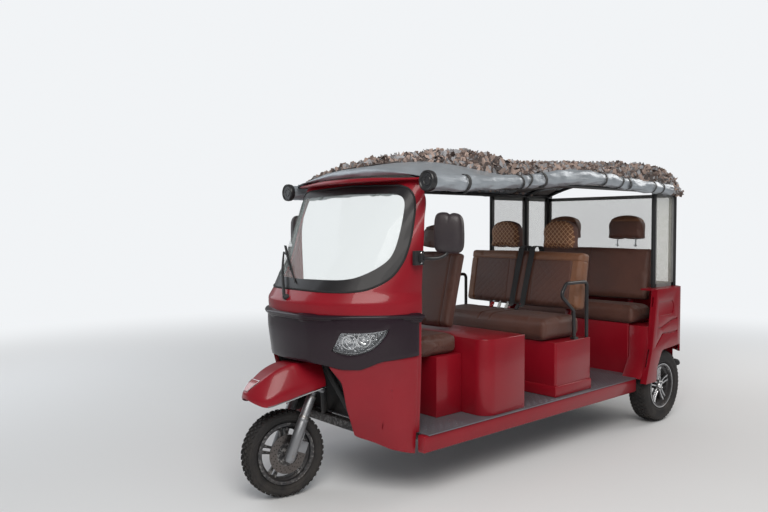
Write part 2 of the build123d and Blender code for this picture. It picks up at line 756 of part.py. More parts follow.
def tail_lamps():
    lamp = block(405, 505, -tail_reach - lamp_proud, -tail_reach - 0.5, 680, 900)
    lamp = fillet(lamp.edges().filter_by(Axis.Y), 25)
    return both_sides(lamp)


def rear_bumper():
    radius = 19.0
    bar = bumper_proud - radius + tail_reach
    tube = bent_tube([(-628, -280, 400), (-596, -bar, 400), (596, -bar, 400), (628, -280, 400)], 42, radius)
    stays = [block(side * rail_x - 15, side * rail_x + 15, -bar, frame_back, frame_top - frame_depth, 415)
             for side in (-1, 1)]
    return tube + stays


# Running gear

def rear_axle():
    """Beam, stubs for the wheels and the round final drive case, as one turned shape."""
    end = rear_wheel_outer_x - rear_tyre_width / 2 + hub_half
    inner = end - 2 * hub_half - 5
    profile = make_face([
        Polyline((-end, 0), (-end, axle_radius), (-inner, axle_radius), (-inner, beam_radius),
                 (-case_radius, beam_radius)),
        ThreePointArc((-case_radius, beam_radius), (0, case_radius), (case_radius, beam_radius)),
        Polyline((case_radius, beam_radius), (inner, beam_radius), (inner, axle_radius), (end, axle_radius),
                 (end, 0), (-end, 0))])
    return Pos(0, rear_axle_y, rear_tyre_radius) * revolve(profile, Axis.X)


def drive_motor():
    return straight_tube((0, -case_radius, rear_tyre_radius),
                         (0, frame_back + frame_width + 5, rear_tyre_radius), motor_radius)


def leaf_springs():
    plane = Plane(origin=(395, 0, 0), x_dir=(0, 1, 0), z_dir=(1, 0, 0))
    low = rear_tyre_radius - 30 - 18.3
    y = [station(350), station(0), station(-290)]
    under = ThreePointArc((y[0], 285), (y[1], low), (y[2], 285))
    over = ThreePointArc((y[2], 302.5), (y[1], low + 18), (y[0], 302.5))
    face = make_face([under, Line((y[2], 285), (y[2], 302.5)), over, Line((y[0], 302.5), (y[0], 285))])
    return both_sides(extrude(plane * face, 50))


# Fittings

def dashboard():
    top = ledge_height + 27
    shelf = cab_solid(cab_wall, top - 72, top, 2610)
    hollow = cab_solid(cab_wall + 15, top - 112, top - 12, 2624)
    binnacle = block(-130, 130, 2600, 2740, top - 1, top + 50)
    binnacle = fillet(binnacle.edges().filter_by(Axis.X), 20)
    return shelf - hollow + binnacle


def wiper():
    foot = ledge_height + 100
    pivot = straight_tube((87, 2945, foot), (87, 2975, foot), 14)
    arm = straight_tube((87, 2968, foot), (-190, 2768, foot + 237), 5)
    blade = straight_tube((70, 2882, foot + 75), (-250, 2730, foot + 280), 5)
    return pivot + arm + blade


def mirror_housings():
    shell = Box(160, 56, 215)
    shell = fillet(shell.edges().filter_by(Axis.Y), 45)
    shell = fillet(shell.faces().sort_by(Axis.Y)[0].edges(), 18)
    shell -= Pos(0, 34, 0) * Box(138, 20, 193)
    x, ahead, z = mirror_centre
    shell = Pos(x, station(ahead), z) * Rot(0, 0, mirror_turn) * shell
    arm = bent_tube([(583, 2433, 1300), (650, 2420, 1300), (690, 2375, 1305), (695, 2370, 1340)], 15, 9)
    plate = block(581, 589, 2422, 2444, 1270, 1330)
    return both_sides(shell + arm + plate)


def mirror_glasses():
    glass = Pos(0, 25.5, 0) * fillet(Box(136, 3, 191).edges().filter_by(Axis.Y), 35)
    x, ahead, z = mirror_centre
    return both_sides(Pos(x, station(ahead), z) * Rot(0, 0, mirror_turn) * glass)


def grab_rails():
    x, top, post = 548, 1088, middle_base_back + 13
    rail = bent_tube([(x, 998, middle_base_top + 12), (x, 1006, 902), (x, 1150, 1012), (x, 1092, top),
                      (x, post, top), (x, post, middle_base_top)], 34, 12)
    foot = block(x - 18, x + 18, 978, 1018, middle_base_top, middle_base_top + 14)
    return both_sides(rail + foot)


def tow_eye():
    """Plate with a bore under the tail."""
    back = frame_back - 53
    plate = block(-35, 35, back, frame_back, frame_top - 40, frame_top - 28)
    plate = fillet(plate.edges().filter_by(Axis.Z).sort_by(Axis.Y)[-2:], 30)
    return plate - Pos(0, station(back + 32), frame_top - 34) * Cylinder(tow_bore_radius, 40)


nodes = {}


def add(name, solid):
    nodes[name] = solid


add("frame_rails", frame_rails())
add("cross_members", cross_members())
add("head_braces", head_braces())
add("floor_plate", floor_plate())
add("side_sills", side_sills())
add("cab_cowl", cab_cowl())
add("cab_front_panel", cab_front_panel())
add("ledge_trim", ledge_trim())
add("cab_surround", cab_surround())
add("pillar_strips", pillar_strips())
add("windscreen_frame", windscreen_frame())
add("windscreen_glass", windscreen_glass())
add("headlamp_bowls", headlamp_bowls())
add("headlamp_lenses", headlamp_lenses())
add("wheel_arch_liner", wheel_arch_liner())
add("dashboard", dashboard())
add("wiper", wiper())
add("mirror_housings", mirror_housings())
add("mirror_glasses", mirror_glasses())
add("roof_cap", roof_cap())
add("roof_frame", roof_frame())
add("pillars", pillars())
add("roof_canopy", roof_canopy())
add("roof_net", roof_net())
add("curtain_rolls", curtain_rolls())
add("clear_curtains", clear_curtains())
add("driver_seat_base", seat_box(driver_base_half, bulkhead_front + 1, driver_base_front, driver_base_top, 0))
add("bulkhead_box", seat_box(bench_half_width + 30, bulkhead_back, bulkhead_front, bulkhead_top, 90))
middle_box = seat_box(bench_half_width + 10, middle_base_back, middle_base_front, middle_base_top, 15)
rear_box = seat_box(rear_base_half, rear_base_back, rear_base_front, rear_base_top, 10)
middle_bars = back_bars(middle_base_back, middle_base_top, *middle_back)
rear_bars = back_bars(rear_base_back, rear_base_top, *rear_back)
add("middle_bench_base", Compound(children=[middle_box] + middle_bars))
add("rear_bench_base", Compound(children=[rear_box] + rear_bars))
add("battery_pack", battery_pack())
add("driver_cushion", cushion(-400, 400, 1945, 2270, driver_base_top, 835, 30))
driver_rest = cushion(-130, 130, 1668, 1758, 1320, 1480, 30)
add("driver_backrest", Compound(children=[backrest(220, *driver_back), driver_rest]))
add("middle_cushion",
    cushion(-530, 530, middle_base_back + 10, middle_base_front + 65, middle_base_top, 865, 35))
middle_pad = backrest(520, *middle_back)
add("middle_backrest", Compound(children=[middle_pad] + middle_headrests()))
add("seat_belts", seat_belts())
add("rear_cushion", cushion(-560, 560, rear_base_back + 8, rear_base_front + 50, rear_base_top, 875, 35))
rear_pad = backrest(530, *rear_back)
add("rear_backrest", Compound(children=[rear_pad] + rear_headrests()))
add("grab_rails", grab_rails())
add("body_sides", body_sides())
add("wheel_wells", wheel_wells())
add("tail_panel", tail_panel())
add("tail_lamps", tail_lamps())
add("rear_bumper", Compound(children=[rear_bumper(), tow_eye()]))
add("rear_axle", rear_axle() + drive_motor())
add("leaf_springs", leaf_springs())
add("fork", fork())
add("handlebar", handlebar())
add("front_fender", front_fender())
add("brake_caliper", brake_caliper())
front_tyre, front_rim = front_wheel()
add("front_tyre", front_tyre)
add("front_rim", front_rim)
for side, word in ((1, "left"), (-1, "right")):
    tyre, rim = rear_wheel(side)
    add("rear_tyre_" + word, tyre)
    add("rear_rim_" + word, rim)

for name, solid in nodes.items():
    export_step(solid, "parts/" + name + ".step")
    box = solid.bounding_box()
    print(name, [round(v) for v in (*box.min, *box.max)], round(solid.volume / 1e6, 3))
wheel_centre = parked(Pos(0, front_axle_y, front_tyre_radius) * Sphere(10)).center()
print("steering axis", steer_axis(), "front wheel centre", wheel_centre)
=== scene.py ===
import bpy
import bmesh
import json
import math
from mathutils import Matrix, Vector, noise


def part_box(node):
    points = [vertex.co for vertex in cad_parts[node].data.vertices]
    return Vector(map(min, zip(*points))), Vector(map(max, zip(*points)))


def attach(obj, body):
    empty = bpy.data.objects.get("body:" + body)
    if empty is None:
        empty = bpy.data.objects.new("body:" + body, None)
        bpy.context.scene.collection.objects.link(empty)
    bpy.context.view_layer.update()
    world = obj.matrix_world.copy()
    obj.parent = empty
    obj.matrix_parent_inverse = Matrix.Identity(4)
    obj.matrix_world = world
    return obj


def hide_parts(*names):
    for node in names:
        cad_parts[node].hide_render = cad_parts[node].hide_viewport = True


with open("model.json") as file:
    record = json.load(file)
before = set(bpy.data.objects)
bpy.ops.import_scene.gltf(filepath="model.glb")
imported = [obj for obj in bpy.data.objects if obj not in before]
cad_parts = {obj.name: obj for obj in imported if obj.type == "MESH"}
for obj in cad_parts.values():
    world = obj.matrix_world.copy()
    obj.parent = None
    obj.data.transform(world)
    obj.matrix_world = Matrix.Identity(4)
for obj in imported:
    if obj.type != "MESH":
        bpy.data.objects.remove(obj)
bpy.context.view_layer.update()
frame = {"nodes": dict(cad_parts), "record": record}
nodes = frame["nodes"]
axleY = 1.4045  # rear axle along Y; "ahead" is metres forward of it, as in the CAD


# Camera, floor and light

cameraSetup = {"place": (3.2696, -3.6693, 1.4667), "azimuth": 48.67, "pitch": 2.38, "roll": -0.19,
               "lens": 33.54}
studio = {"floorColour": (0.78, 0.785, 0.79), "worldLight": 0.42, "mirrored": 0.20, "keyPower": 205,
          "fillPower": 60, "rimPower": 95, "backColour": (0.93, 0.95, 0.97), "backLight": 0.95}


def linkObject(made):
    bpy.context.scene.collection.objects.link(made)


def makeCamera():
    turn, pitch, roll = (math.radians(cameraSetup[k]) for k in ("azimuth", "pitch", "roll"))
    flat = math.cos(pitch)
    forward = Vector((-math.sin(turn) * flat, math.cos(turn) * flat, -math.sin(pitch)))
    side = Vector((math.cos(turn), math.sin(turn), 0))
    up = side.cross(forward)
    side, up = side * math.cos(roll) + up * math.sin(roll), up * math.cos(roll) - side * math.sin(roll)
    data = bpy.data.cameras.new("viewCamera")
    data.lens, data.sensor_width, data.clip_end = cameraSetup["lens"], 36, 200
    camera = bpy.data.objects.new("viewCamera", data)
    turned = Matrix((side, up, -forward)).transposed().to_4x4()
    camera.matrix_world = Matrix.Translation(cameraSetup["place"]) @ turned
    linkObject(camera)
    bpy.context.scene.camera = camera


def softLight(name, place, size, power, colour, aim=(0, 0, 0.9)):
    data = bpy.data.lights.new(name, "AREA")
    data.shape, data.size, data.energy, data.color = "SQUARE", size, power, colour
    lamp = bpy.data.objects.new(name, data)
    lamp.location = place
    lamp.rotation_euler = (Vector(aim) - Vector(place)).to_track_quat("-Z", "Y").to_euler()
    linkObject(lamp)


makeCamera()
bpy.context.scene.view_settings.view_transform = "Standard"
softLight("keySoftbox", (3.5, -3.2, 4.6), 3.2, studio["keyPower"], (1.0, 0.97, 0.93))
softLight("fillSoftbox", (-4.5, -2.5, 3.0), 3.5, studio["fillPower"], (0.9, 0.95, 1.0))
softLight("rimSoftbox", (1.5, 5.2, 3.6), 3.0, studio["rimPower"], (1.0, 0.96, 0.92))


# Shader helpers

def isSocket(value):
    return hasattr(value, "is_linked")


def addNode(tree, kind, settings=None, **inputs):
    made = tree.nodes.new(kind)
    for key, value in (settings or {}).items():
        setattr(made, key, value)
    for key, value in inputs.items():
        numbered = key[0] == "i" and key[1:].isdigit()
        socket = made.inputs[int(key[1:]) if numbered else key.replace("_", " ")]
        if isSocket(value):
            tree.links.new(value, socket)
        else:
            socket.default_value = value
    return made


def mathNode(tree, operation, a, b=0.0, c=0.0):
    return addNode(tree, "ShaderNodeMath", {"operation": operation}, i0=a, i1=b, i2=c).outputs[0]


def mixColour(tree, fac, a, b, blend="MIX"):
    made = addNode(tree, "ShaderNodeMix", {"data_type": "RGBA", "blend_type": blend})
    for index, value in ((0, fac), (6, a), (7, b)):
        if isSocket(value):
            tree.links.new(value, made.inputs[index])
        else:
            made.inputs[index].default_value = value if index == 0 else (*value[:3], 1)
    return made.outputs[2]


def rampNode(tree, value, low, high, toLow=0.0, toHigh=1.0):
    return addNode(tree, "ShaderNodeMapRange", {"clamp": True}, i0=value, i1=low, i2=high, i3=toLow,
                   i4=toHigh).outputs[0]


def noiseNode(tree, place, **settings):
    return addNode(tree, "ShaderNodeTexNoise", None, Vector=place, **settings).outputs[0]


def startGroup(name, inputs, outputs):
    tree = bpy.data.node_groups.new(name, "ShaderNodeTree")
    for label, kind, default in inputs:
        socket = tree.interface.new_socket(name=label, in_out="INPUT", socket_type="NodeSocket" + kind)
        if default is not None:
            socket.default_value = default
    for label, kind in outputs:
        tree.interface.new_socket(name=label, in_out="OUTPUT", socket_type="NodeSocket" + kind)
    return tree, tree.nodes.new("NodeGroupInput").outputs, tree.nodes.new("NodeGroupOutput").inputs


def useGroup(tree, group, **inputs):
    return addNode(tree, "ShaderNodeGroup", {"node_tree": group}, **inputs).outputs


def buildRoadDust():
    tree, given, out = startGroup("roadDust", [("Place", "Vector", None), ("Height", "Float", 0.6),
                                               ("Amount", "Float", 0.4)], [("Mask", "Float")])
    high = addNode(tree, "ShaderNodeSeparateXYZ", None, i0=given["Place"]).outputs[2]
    low = mathNode(tree, "SUBTRACT", 1.0, mathNode(tree, "DIVIDE", high, given["Height"]))
    normal = addNode(tree, "ShaderNodeNewGeometry").outputs["Normal"]
    facing = addNode(tree, "ShaderNodeSeparateXYZ", None, i0=normal).outputs[2]
    upward = rampNode(tree, facing, 0.4, 1.0, 0.0, 0.35)
    blotch = noiseNode(tree, given["Place"], Scale=9.0, Detail=6.0, Roughness=0.65)
    speck = noiseNode(tree, given["Place"], Scale=140.0, Detail=3.0)
    spread = mathNode(tree, "MULTIPLY", mathNode(tree, "ADD", mathNode(tree, "MAXIMUM", low, 0.0), upward),
                      rampNode(tree, blotch, 0.35, 0.7))
    mask = mathNode(tree, "MULTIPLY", mathNode(tree, "MULTIPLY", spread,
                                               rampNode(tree, speck, 0.2, 0.75, 0.5, 1.0)), given["Amount"])
    tree.links.new(addNode(tree, "ShaderNodeClamp", None, i0=mask).outputs[0], out["Mask"])
    return tree


def buildEdgeWear():
    tree, given, out = startGroup("edgeWear", [("Place", "Vector", None), ("Amount", "Float", 0.5)],
                                  [("Mask", "Float")])
    point = addNode(tree, "ShaderNodeNewGeometry").outputs["Pointiness"]
    edge = rampNode(tree, point, 0.52, 0.62)
    chip = noiseNode(tree, given["Place"], Scale=60.0, Detail=5.0, Roughness=0.7)
    mask = mathNode(tree, "MULTIPLY", mathNode(tree, "MULTIPLY", edge, rampNode(tree, chip, 0.5, 0.6)),
                    given["Amount"])
    tree.links.new(mask, out["Mask"])
    return tree


def buildFineGrain():
    tree, given, out = startGroup("fineGrain", [("Place", "Vector", None), ("Scale", "Float", 300.0),
                                                ("Softness", "Float", 0.5)],
                                  [("Height", "Float"), ("Tone", "Float")])
    grain = noiseNode(tree, given["Place"], Scale=given["Scale"], Detail=4.0,
                    Roughness=given["Softness"])
    tone = noiseNode(tree, given["Place"], Scale=3.5, Detail=4.0)
    tree.links.new(grain, out["Height"])
    tree.links.new(tone, out["Tone"])
    return tree


def buildLeatherGrain():
    tree, given, out = startGroup("leatherGrain", [("Place", "Vector", None), ("Scale", "Float", 420.0)],
                                  [("Height", "Float"), ("Crease", "Float"), ("Tone", "Float")])
    warp = addNode(tree, "ShaderNodeTexNoise", None, Vector=given["Place"], Scale=60.0,
                   Detail=2.0).outputs[1]
    shifted = addNode(tree, "ShaderNodeVectorMath", {"operation": "MULTIPLY_ADD"}, i0=warp,
                      i1=(0.004, 0.004, 0.004), i2=given["Place"]).outputs[0]
    cells = addNode(tree, "ShaderNodeTexVoronoi", {"feature": "DISTANCE_TO_EDGE"}, Vector=shifted,
                    Scale=given["Scale"]).outputs[0]
    pebble = rampNode(tree, cells, 0.0, 0.25)
    folds = noiseNode(tree, given["Place"], Scale=22.0, Detail=5.0, Roughness=0.6)
    crease = rampNode(tree, mathNode(tree, "ABSOLUTE", mathNode(tree, "SUBTRACT", folds, 0.5)), 0.0, 0.03)
    tone = noiseNode(tree, given["Place"], Scale=6.0, Detail=4.0)
    tree.links.new(pebble, out["Height"])
    tree.links.new(crease, out["Crease"])
    tree.links.new(tone, out["Tone"])
    return tree


def buildClothWeave():
    tree, given, out = startGroup("clothWeave", [("Place", "Vector", None), ("Threads", "Float", 900.0)],
                                  [("Height", "Float"), ("Tone", "Float")])
    parts = addNode(tree, "ShaderNodeSeparateXYZ", None, i0=given["Place"]).outputs
    along = mathNode(tree, "SINE", mathNode(tree, "MULTIPLY", parts[0], given["Threads"]))
    across = mathNode(tree, "SINE", mathNode(tree, "MULTIPLY", parts[1], given["Threads"]))
    upright = mathNode(tree, "SINE", mathNode(tree, "MULTIPLY", parts[2], given["Threads"]))
    weave = mathNode(tree, "MULTIPLY", mathNode(tree, "ADD", along, upright), across)
    tone = noiseNode(tree, given["Place"], Scale=8.0, Detail=5.0)
    tree.links.new(weave, out["Height"])
    tree.links.new(tone, out["Tone"])
    return tree


def buildQuiltLines():
    tree, given, out = startGroup("quiltLines", [("Place", "Vector", None), ("Pitch", "Float", 0.032)],
                                  [("Groove", "Float"), ("Stitch", "Float")])
    parts = addNode(tree, "ShaderNodeSeparateXYZ", None, i0=given["Place"]).outputs
    lines, dashes = [], []
    for operation in ("ADD", "SUBTRACT"):
        along = mathNode(tree, "DIVIDE", mathNode(tree, operation, parts[0], parts[1]), given["Pitch"])
        other = mathNode(tree, "SUBTRACT" if operation == "ADD" else "ADD", parts[0], parts[1])
        near = mathNode(tree, "SUBTRACT", 0.5,
                        mathNode(tree, "ABSOLUTE",
                                 mathNode(tree, "SUBTRACT", mathNode(tree, "FRACT", along), 0.5)))
        lines.append(near)
        dash = rampNode(tree, mathNode(tree, "SINE", mathNode(tree, "MULTIPLY", other, 1100.0)), -0.5, 0.0,
                        0.55, 1.0)
        dashes.append(mathNode(tree, "MULTIPLY", rampNode(tree, near, 0.05, 0.12, 1.0, 0.0), dash))
    closest = mathNode(tree, "MINIMUM", lines[0], lines[1])
    tree.links.new(rampNode(tree, closest, 0.0, 0.3), out["Groove"])
    tree.links.new(mathNode(tree, "MAXIMUM", dashes[0], dashes[1]), out["Stitch"])
    return tree


roadDust, edgeWear, fineGrain = buildRoadDust(), buildEdgeWear(), buildFineGrain()
leatherGrain, clothWeave, quiltLines = buildLeatherGrain(), buildClothWeave(), buildQuiltLines()
dustColour = (0.26, 0.22, 0.18)


def startMaterial(name):
    material = bpy.data.materials.new(name)
    material.use_nodes = True
    tree = material.node_tree
    tree.nodes.clear()
    shader = tree.nodes.new("ShaderNodeBsdfPrincipled")
    tree.links.new(shader.outputs[0], tree.nodes.new("ShaderNodeOutputMaterial").inputs[0])
    return material, tree, shader, tree.nodes.new("ShaderNodeTexCoord").outputs


def linkBump(tree, shader, height, strength, depth):
    bump = addNode(tree, "ShaderNodeBump", None, Strength=strength, Distance=depth, Height=height)
    tree.links.new(bump.outputs[0], shader.inputs["Normal"])


def hardFinish(name, colour, rough, metal=0.0, coat=0.0, grain=(300.0, 0.1, 0.0005), dust=(0.7, 0.35),
               wear=None, tint=0.12, spread=0.12, gloss=0.5):
    material, tree, shader, coords = startMaterial(name)
    place = coords["Object"]
    grainOut = useGroup(tree, fineGrain, Place=place, Scale=grain[0])
    darker = tuple(c * (1 - tint) for c in colour)
    base = mixColour(tree, rampNode(tree, grainOut["Tone"], 0.35, 0.65), darker, colour)
    roughness = rampNode(tree, grainOut["Tone"], 0.3, 0.7, max(rough - spread / 2, 0.02), rough + spread / 2)
    if wear:
        worn = useGroup(tree, edgeWear, Place=place, Amount=wear[1])["Mask"]
        base = mixColour(tree, worn, base, wear[0])
    if dust:
        dusty = useGroup(tree, roadDust, Place=place, Height=dust[0], Amount=dust[1])["Mask"]
        base = mixColour(tree, dusty, base, dustColour)
        roughness = mathNode(tree, "ADD", roughness, mathNode(tree, "MULTIPLY", dusty, 0.45))
    tree.links.new(base, shader.inputs["Base Color"])
    tree.links.new(roughness, shader.inputs["Roughness"])
    shader.inputs["Metallic"].default_value = metal
    shader.inputs["Coat Weight"].default_value = coat
    shader.inputs["Coat Roughness"].default_value = 0.04
    shader.inputs["Specular IOR Level"].default_value = gloss
    linkBump(tree, shader, grainOut["Height"], grain[1], grain[2])
    return material


def clearFinish(name, colour, rough, ior=1.45, wave=(14.0, 0.0, 0.002), alpha=0.3):
    material, tree, shader, coords = startMaterial(name)
    smear = noiseNode(tree, coords["Object"], Scale=wave[0], Detail=4.0)
    tree.links.new(rampNode(tree, smear, 0.3, 0.75, rough, rough + 0.1), shader.inputs["Roughness"])
    tree.links.new(mixColour(tree, smear, tuple(c * 0.9 for c in colour), colour),
                   shader.inputs["Base Color"])
    shader.inputs["Alpha"].default_value = alpha
    shader.inputs["IOR"].default_value = ior
    if wave[1]:
        linkBump(tree, shader, smear, wave[1], wave[2])
    return material


def leatherFinish(name, colour, rough=0.48, tan=None):
    material, tree, shader, coords = startMaterial(name)
    grainOut = useGroup(tree, leatherGrain, Place=coords["Object"])
    base = mixColour(tree, rampNode(tree, grainOut["Tone"], 0.3, 0.7), tuple(c * 0.72 for c in colour),
                     colour)
    # darker along the fold lines of the grain: painted shade in the creases
    base = mixColour(tree, rampNode(tree, grainOut["Crease"], 0.0, 1.0, 0.25, 0.0), base,
                     tuple(c * 0.5 for c in colour))
    height = mathNode(tree, "ADD", mathNode(tree, "MULTIPLY", grainOut["Height"], 0.5), grainOut["Crease"])
    if tan:  # diamond quilting follows the piece's own map
        quilt = useGroup(tree, quiltLines, Place=coords["UV"], Pitch=tan["pitch"])
        # darker along the quilt lines: painted shade in the sewn grooves; the pale thread is the stitching's
        # own colour
        base = mixColour(tree, mathNode(tree, "MULTIPLY", mathNode(tree, "SUBTRACT", 1.0, quilt["Groove"]),
                                        0.45), base, tuple(c * 0.4 for c in colour))
        base = mixColour(tree, quilt["Stitch"], base, tan["thread"])
        height = mathNode(tree, "ADD", mathNode(tree, "MULTIPLY", height, 0.25),
                          mathNode(tree, "MULTIPLY", quilt["Groove"], 2.0))
    tree.links.new(base, shader.inputs["Base Color"])
    tree.links.new(rampNode(tree, grainOut["Tone"], 0.3, 0.7, rough - 0.08, rough + 0.1),
                   shader.inputs["Roughness"])
    shader.inputs["Sheen Weight"].default_value = 0.08
    linkBump(tree, shader, height, 0.35, 0.0012)
    return material


def clothFinish(name, colour, rough, threads, metal=0.0, sheen=0.2, bump=0.4, wrinkle=0.0, dark=0.75):
    material, tree, shader, coords = startMaterial(name)
    weave = useGroup(tree, clothWeave, Place=coords["Object"], Threads=threads)
    base = mixColour(tree, rampNode(tree, weave["Tone"], 0.3, 0.7), tuple(c * dark for c in colour), colour)
    height = weave["Height"]
    if wrinkle:
        folds = noiseNode(tree, coords["Object"], Scale=26.0, Detail=7.0, Roughness=0.62,
                        Distortion=1.2)
        height = mathNode(tree, "ADD", mathNode(tree, "MULTIPLY", height, 0.05),
                          mathNode(tree, "MULTIPLY", folds, wrinkle))
    tree.links.new(base, shader.inputs["Base Color"])
    tree.links.new(rampNode(tree, weave["Tone"], 0.3, 0.7, rough - 0.07, rough + 0.07),
                   shader.inputs["Roughness"])
    shader.inputs["Metallic"].default_value = metal
    shader.inputs["Sheen Weight"].default_value = sheen
    linkBump(tree, shader, height, bump, 0.002)
    return material


bare = ((0.45, 0.44, 0.43), 0.7)
finishes = {
    "crimson": hardFinish("crimsonPaint", (0.27, 0.005, 0.014), 0.34, coat=0.3, grain=(420.0, 0.04, 0.0004),
                          dust=(0.6, 0.05), gloss=0.28),
    "panel": hardFinish("auberginePanel", (0.015, 0.005, 0.011), 0.34, coat=0.25,
                        grain=(420.0, 0.03, 0.0004), dust=(0.9, 0.08), gloss=0.3),
    "frit": hardFinish("screenBorder", (0.010, 0.009, 0.011), 0.46, coat=0.06, grain=(700.0, 0.02, 0.0003),
                       dust=(1.3, 0.06)),
    "tube": hardFinish("tubeBlack", (0.016, 0.016, 0.018), 0.38, coat=0.15, grain=(900.0, 0.15, 0.0004),
                       dust=(0.9, 0.25)),
    "plastic": hardFinish("mouldedBlack", (0.022, 0.022, 0.024), 0.6, grain=(1400.0, 0.35, 0.0005),
                          dust=(0.9, 0.35)),
    "rubber": hardFinish("sealRubber", (0.014, 0.014, 0.015), 0.75, grain=(500.0, 0.2, 0.0005),
                         dust=(0.7, 0.3)),
    "steel": hardFinish("bareSteel", (0.42, 0.41, 0.4), 0.38, metal=1.0, grain=(600.0, 0.12, 0.0004),
                        dust=(0.6, 0.4)),
    "frameBlack": hardFinish("frameBlack", (0.03, 0.03, 0.032), 0.55, grain=(500.0, 0.2, 0.0006),
                             dust=(0.5, 0.7), wear=bare),
    "castGrey": hardFinish("castAluminium", (0.36, 0.37, 0.39), 0.42, metal=0.9,
                           grain=(900.0, 0.25, 0.0005), dust=(0.6, 0.35)),
    "chrome": hardFinish("brightChrome", (0.78, 0.79, 0.8), 0.08, metal=1.0, grain=(40.0, 0.02, 0.0005),
                         dust=None, spread=0.05),
    "alloyBright": hardFinish("machinedAlloy", (0.62, 0.63, 0.65), 0.24, metal=1.0,
                              grain=(700.0, 0.08, 0.0003), dust=(0.5, 0.3)),
    "alloyDark": hardFinish("darkAlloy", (0.045, 0.045, 0.05), 0.42, metal=0.5, coat=0.3,
                            grain=(900.0, 0.12, 0.0004), dust=(0.5, 0.35), wear=bare),
    "tyre": hardFinish("tyreRubber", (0.016, 0.015, 0.016), 0.78, grain=(260.0, 0.3, 0.0008),
                       dust=(0.62, 0.2), tint=0.3),
    "floor": hardFinish("chequerPlate", (0.21, 0.22, 0.25), 0.38, metal=0.6, grain=(350.0, 0.15, 0.0005),
                        dust=(3.0, 0.14)),
    "disc": hardFinish("brakeDisc", (0.17, 0.155, 0.15), 0.36, metal=1.0, grain=(500.0, 0.1, 0.0004),
                       dust=(0.6, 0.4)),
    "mirrorShell": hardFinish("darkShell", (0.030, 0.022, 0.026), 0.45, grain=(1600.0, 0.25, 0.0004),
                              dust=(3.0, 0.1)),
    "mirrorFace": hardFinish("mirrorFace", (0.8, 0.82, 0.84), 0.03, metal=1.0, grain=(20.0, 0.0, 0.0005),
                             dust=None, spread=0.02, tint=0.03),
    "tailRed": hardFinish("tailRed", (0.35, 0.008, 0.008), 0.16, coat=0.8, grain=(90.0, 0.05, 0.0008),
                          dust=(1.0, 0.2)),
    "tailAmber": hardFinish("tailAmber", (0.6, 0.17, 0.01), 0.16, coat=0.8, grain=(90.0, 0.05, 0.0008),
                            dust=(1.0, 0.2)),
    "white": hardFinish("whitePlastic", (0.62, 0.62, 0.6), 0.4, grain=(1200.0, 0.1, 0.0004),
                        dust=(3.0, 0.15)),
    "battery": hardFinish("batteryCase", (0.035, 0.035, 0.04), 0.6, grain=(900.0, 0.3, 0.0006),
                          dust=(0.7, 0.4)),
    "glass": clearFinish("screenGlass", (0.62, 0.72, 0.7), 0.02, 1.5, alpha=0.16),
    "lampGrey": hardFinish("lampBowl", (0.42, 0.43, 0.45), 0.22, metal=1.0, grain=(60.0, 0.02, 0.0005),
                           dust=None, tint=0.4),
    "lens": clearFinish("lampLens", (0.8, 0.84, 0.88), 0.02, 1.5, wave=(60.0, 0.0, 0.001), alpha=0.05),
    "vinyl": clearFinish("clearVinyl", (0.72, 0.72, 0.64), 0.1, 1.5, wave=(9.0, 0.7, 0.02), alpha=0.26),
    "brown": leatherFinish("brownLeather", (0.118, 0.045, 0.030)),
    "tan": leatherFinish("tanLeather", (0.225, 0.094, 0.045)),
    "quilt": leatherFinish("quiltedTan", (0.21, 0.080, 0.032),
                           tan={"pitch": 0.036, "thread": (0.62, 0.36, 0.19)}),
    "belt": clothFinish("beltWebbing", (0.012, 0.012, 0.013), 0.7, 2600.0),
    "tarp": clothFinish("silverTarp", (0.42, 0.46, 0.5), 0.36, 1800.0, metal=0.45, sheen=0.05, bump=0.5,
                        wrinkle=1.0, dark=0.8),
    "hem": clothFinish("greyHem", (0.2, 0.205, 0.2), 0.7, 1500.0),
    "scrimTan": clothFinish("scrimTan", (0.56, 0.42, 0.36), 0.8, 1500.0, dark=0.55),
    "scrimGrey": clothFinish("scrimGrey", (0.46, 0.46, 0.48), 0.8, 1500.0, dark=0.6),
    # dark flakes among the light ones: painted shade between the flakes
    "scrimBrown": clothFinish("scrimBrown", (0.17, 0.12, 0.105), 0.85, 1500.0, dark=0.5),
    "net": clothFinish("netCord", (0.11, 0.085, 0.078), 0.8, 2000.0, dark=0.4),
}
print("finishes ready")


# Mesh helpers

def turnBy(degrees, axis):
    return Matrix.Rotation(math.radians(degrees), 4, axis)


def softEdges(width, segments, angle=30):
    return "BEVEL", {"width": width, "segments": segments, "limit_method": "ANGLE",
                     "angle_limit": math.radians(angle), "use_clamp_overlap": True}


def thickened(thickness, offset):
    return "SOLIDIFY", {"thickness": thickness, "offset": offset}


def bridge(bm, rings, closed=True, turned=False):
    # quads between neighbouring rows of points
    for near, far in zip(rings, rings[1:]):
        count = len(near)
        for k in range(count if closed else count - 1):
            after = (k + 1) % count
            if turned:
                bm.faces.new((near[k], far[k], far[after], near[after]))
            else:
                bm.faces.new((near[k], near[after], far[after], far[k]))


def repaint(mesh, finish):
    mesh.materials.clear()
    mesh.materials.append(finishes[finish])


def makeObject(name, mesh, material, body, replaced=(), smooth=35):
    mesh.polygons.foreach_set("use_smooth", [True] * len(mesh.polygons))
    mesh.set_sharp_from_angle(angle=math.radians(smooth))
    made = bpy.data.objects.new(name, mesh)
    linkObject(made)
    if material:
        repaint(mesh, material)
    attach(made, body)
    if replaced:
        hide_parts(*replaced)
    return made


def meshFrom(bm, name, outward=False):
    if outward:
        bmesh.ops.recalc_face_normals(bm, faces=bm.faces)
    mesh = bpy.data.meshes.new(name)
    bm.to_mesh(mesh)
    bm.free()
    return mesh


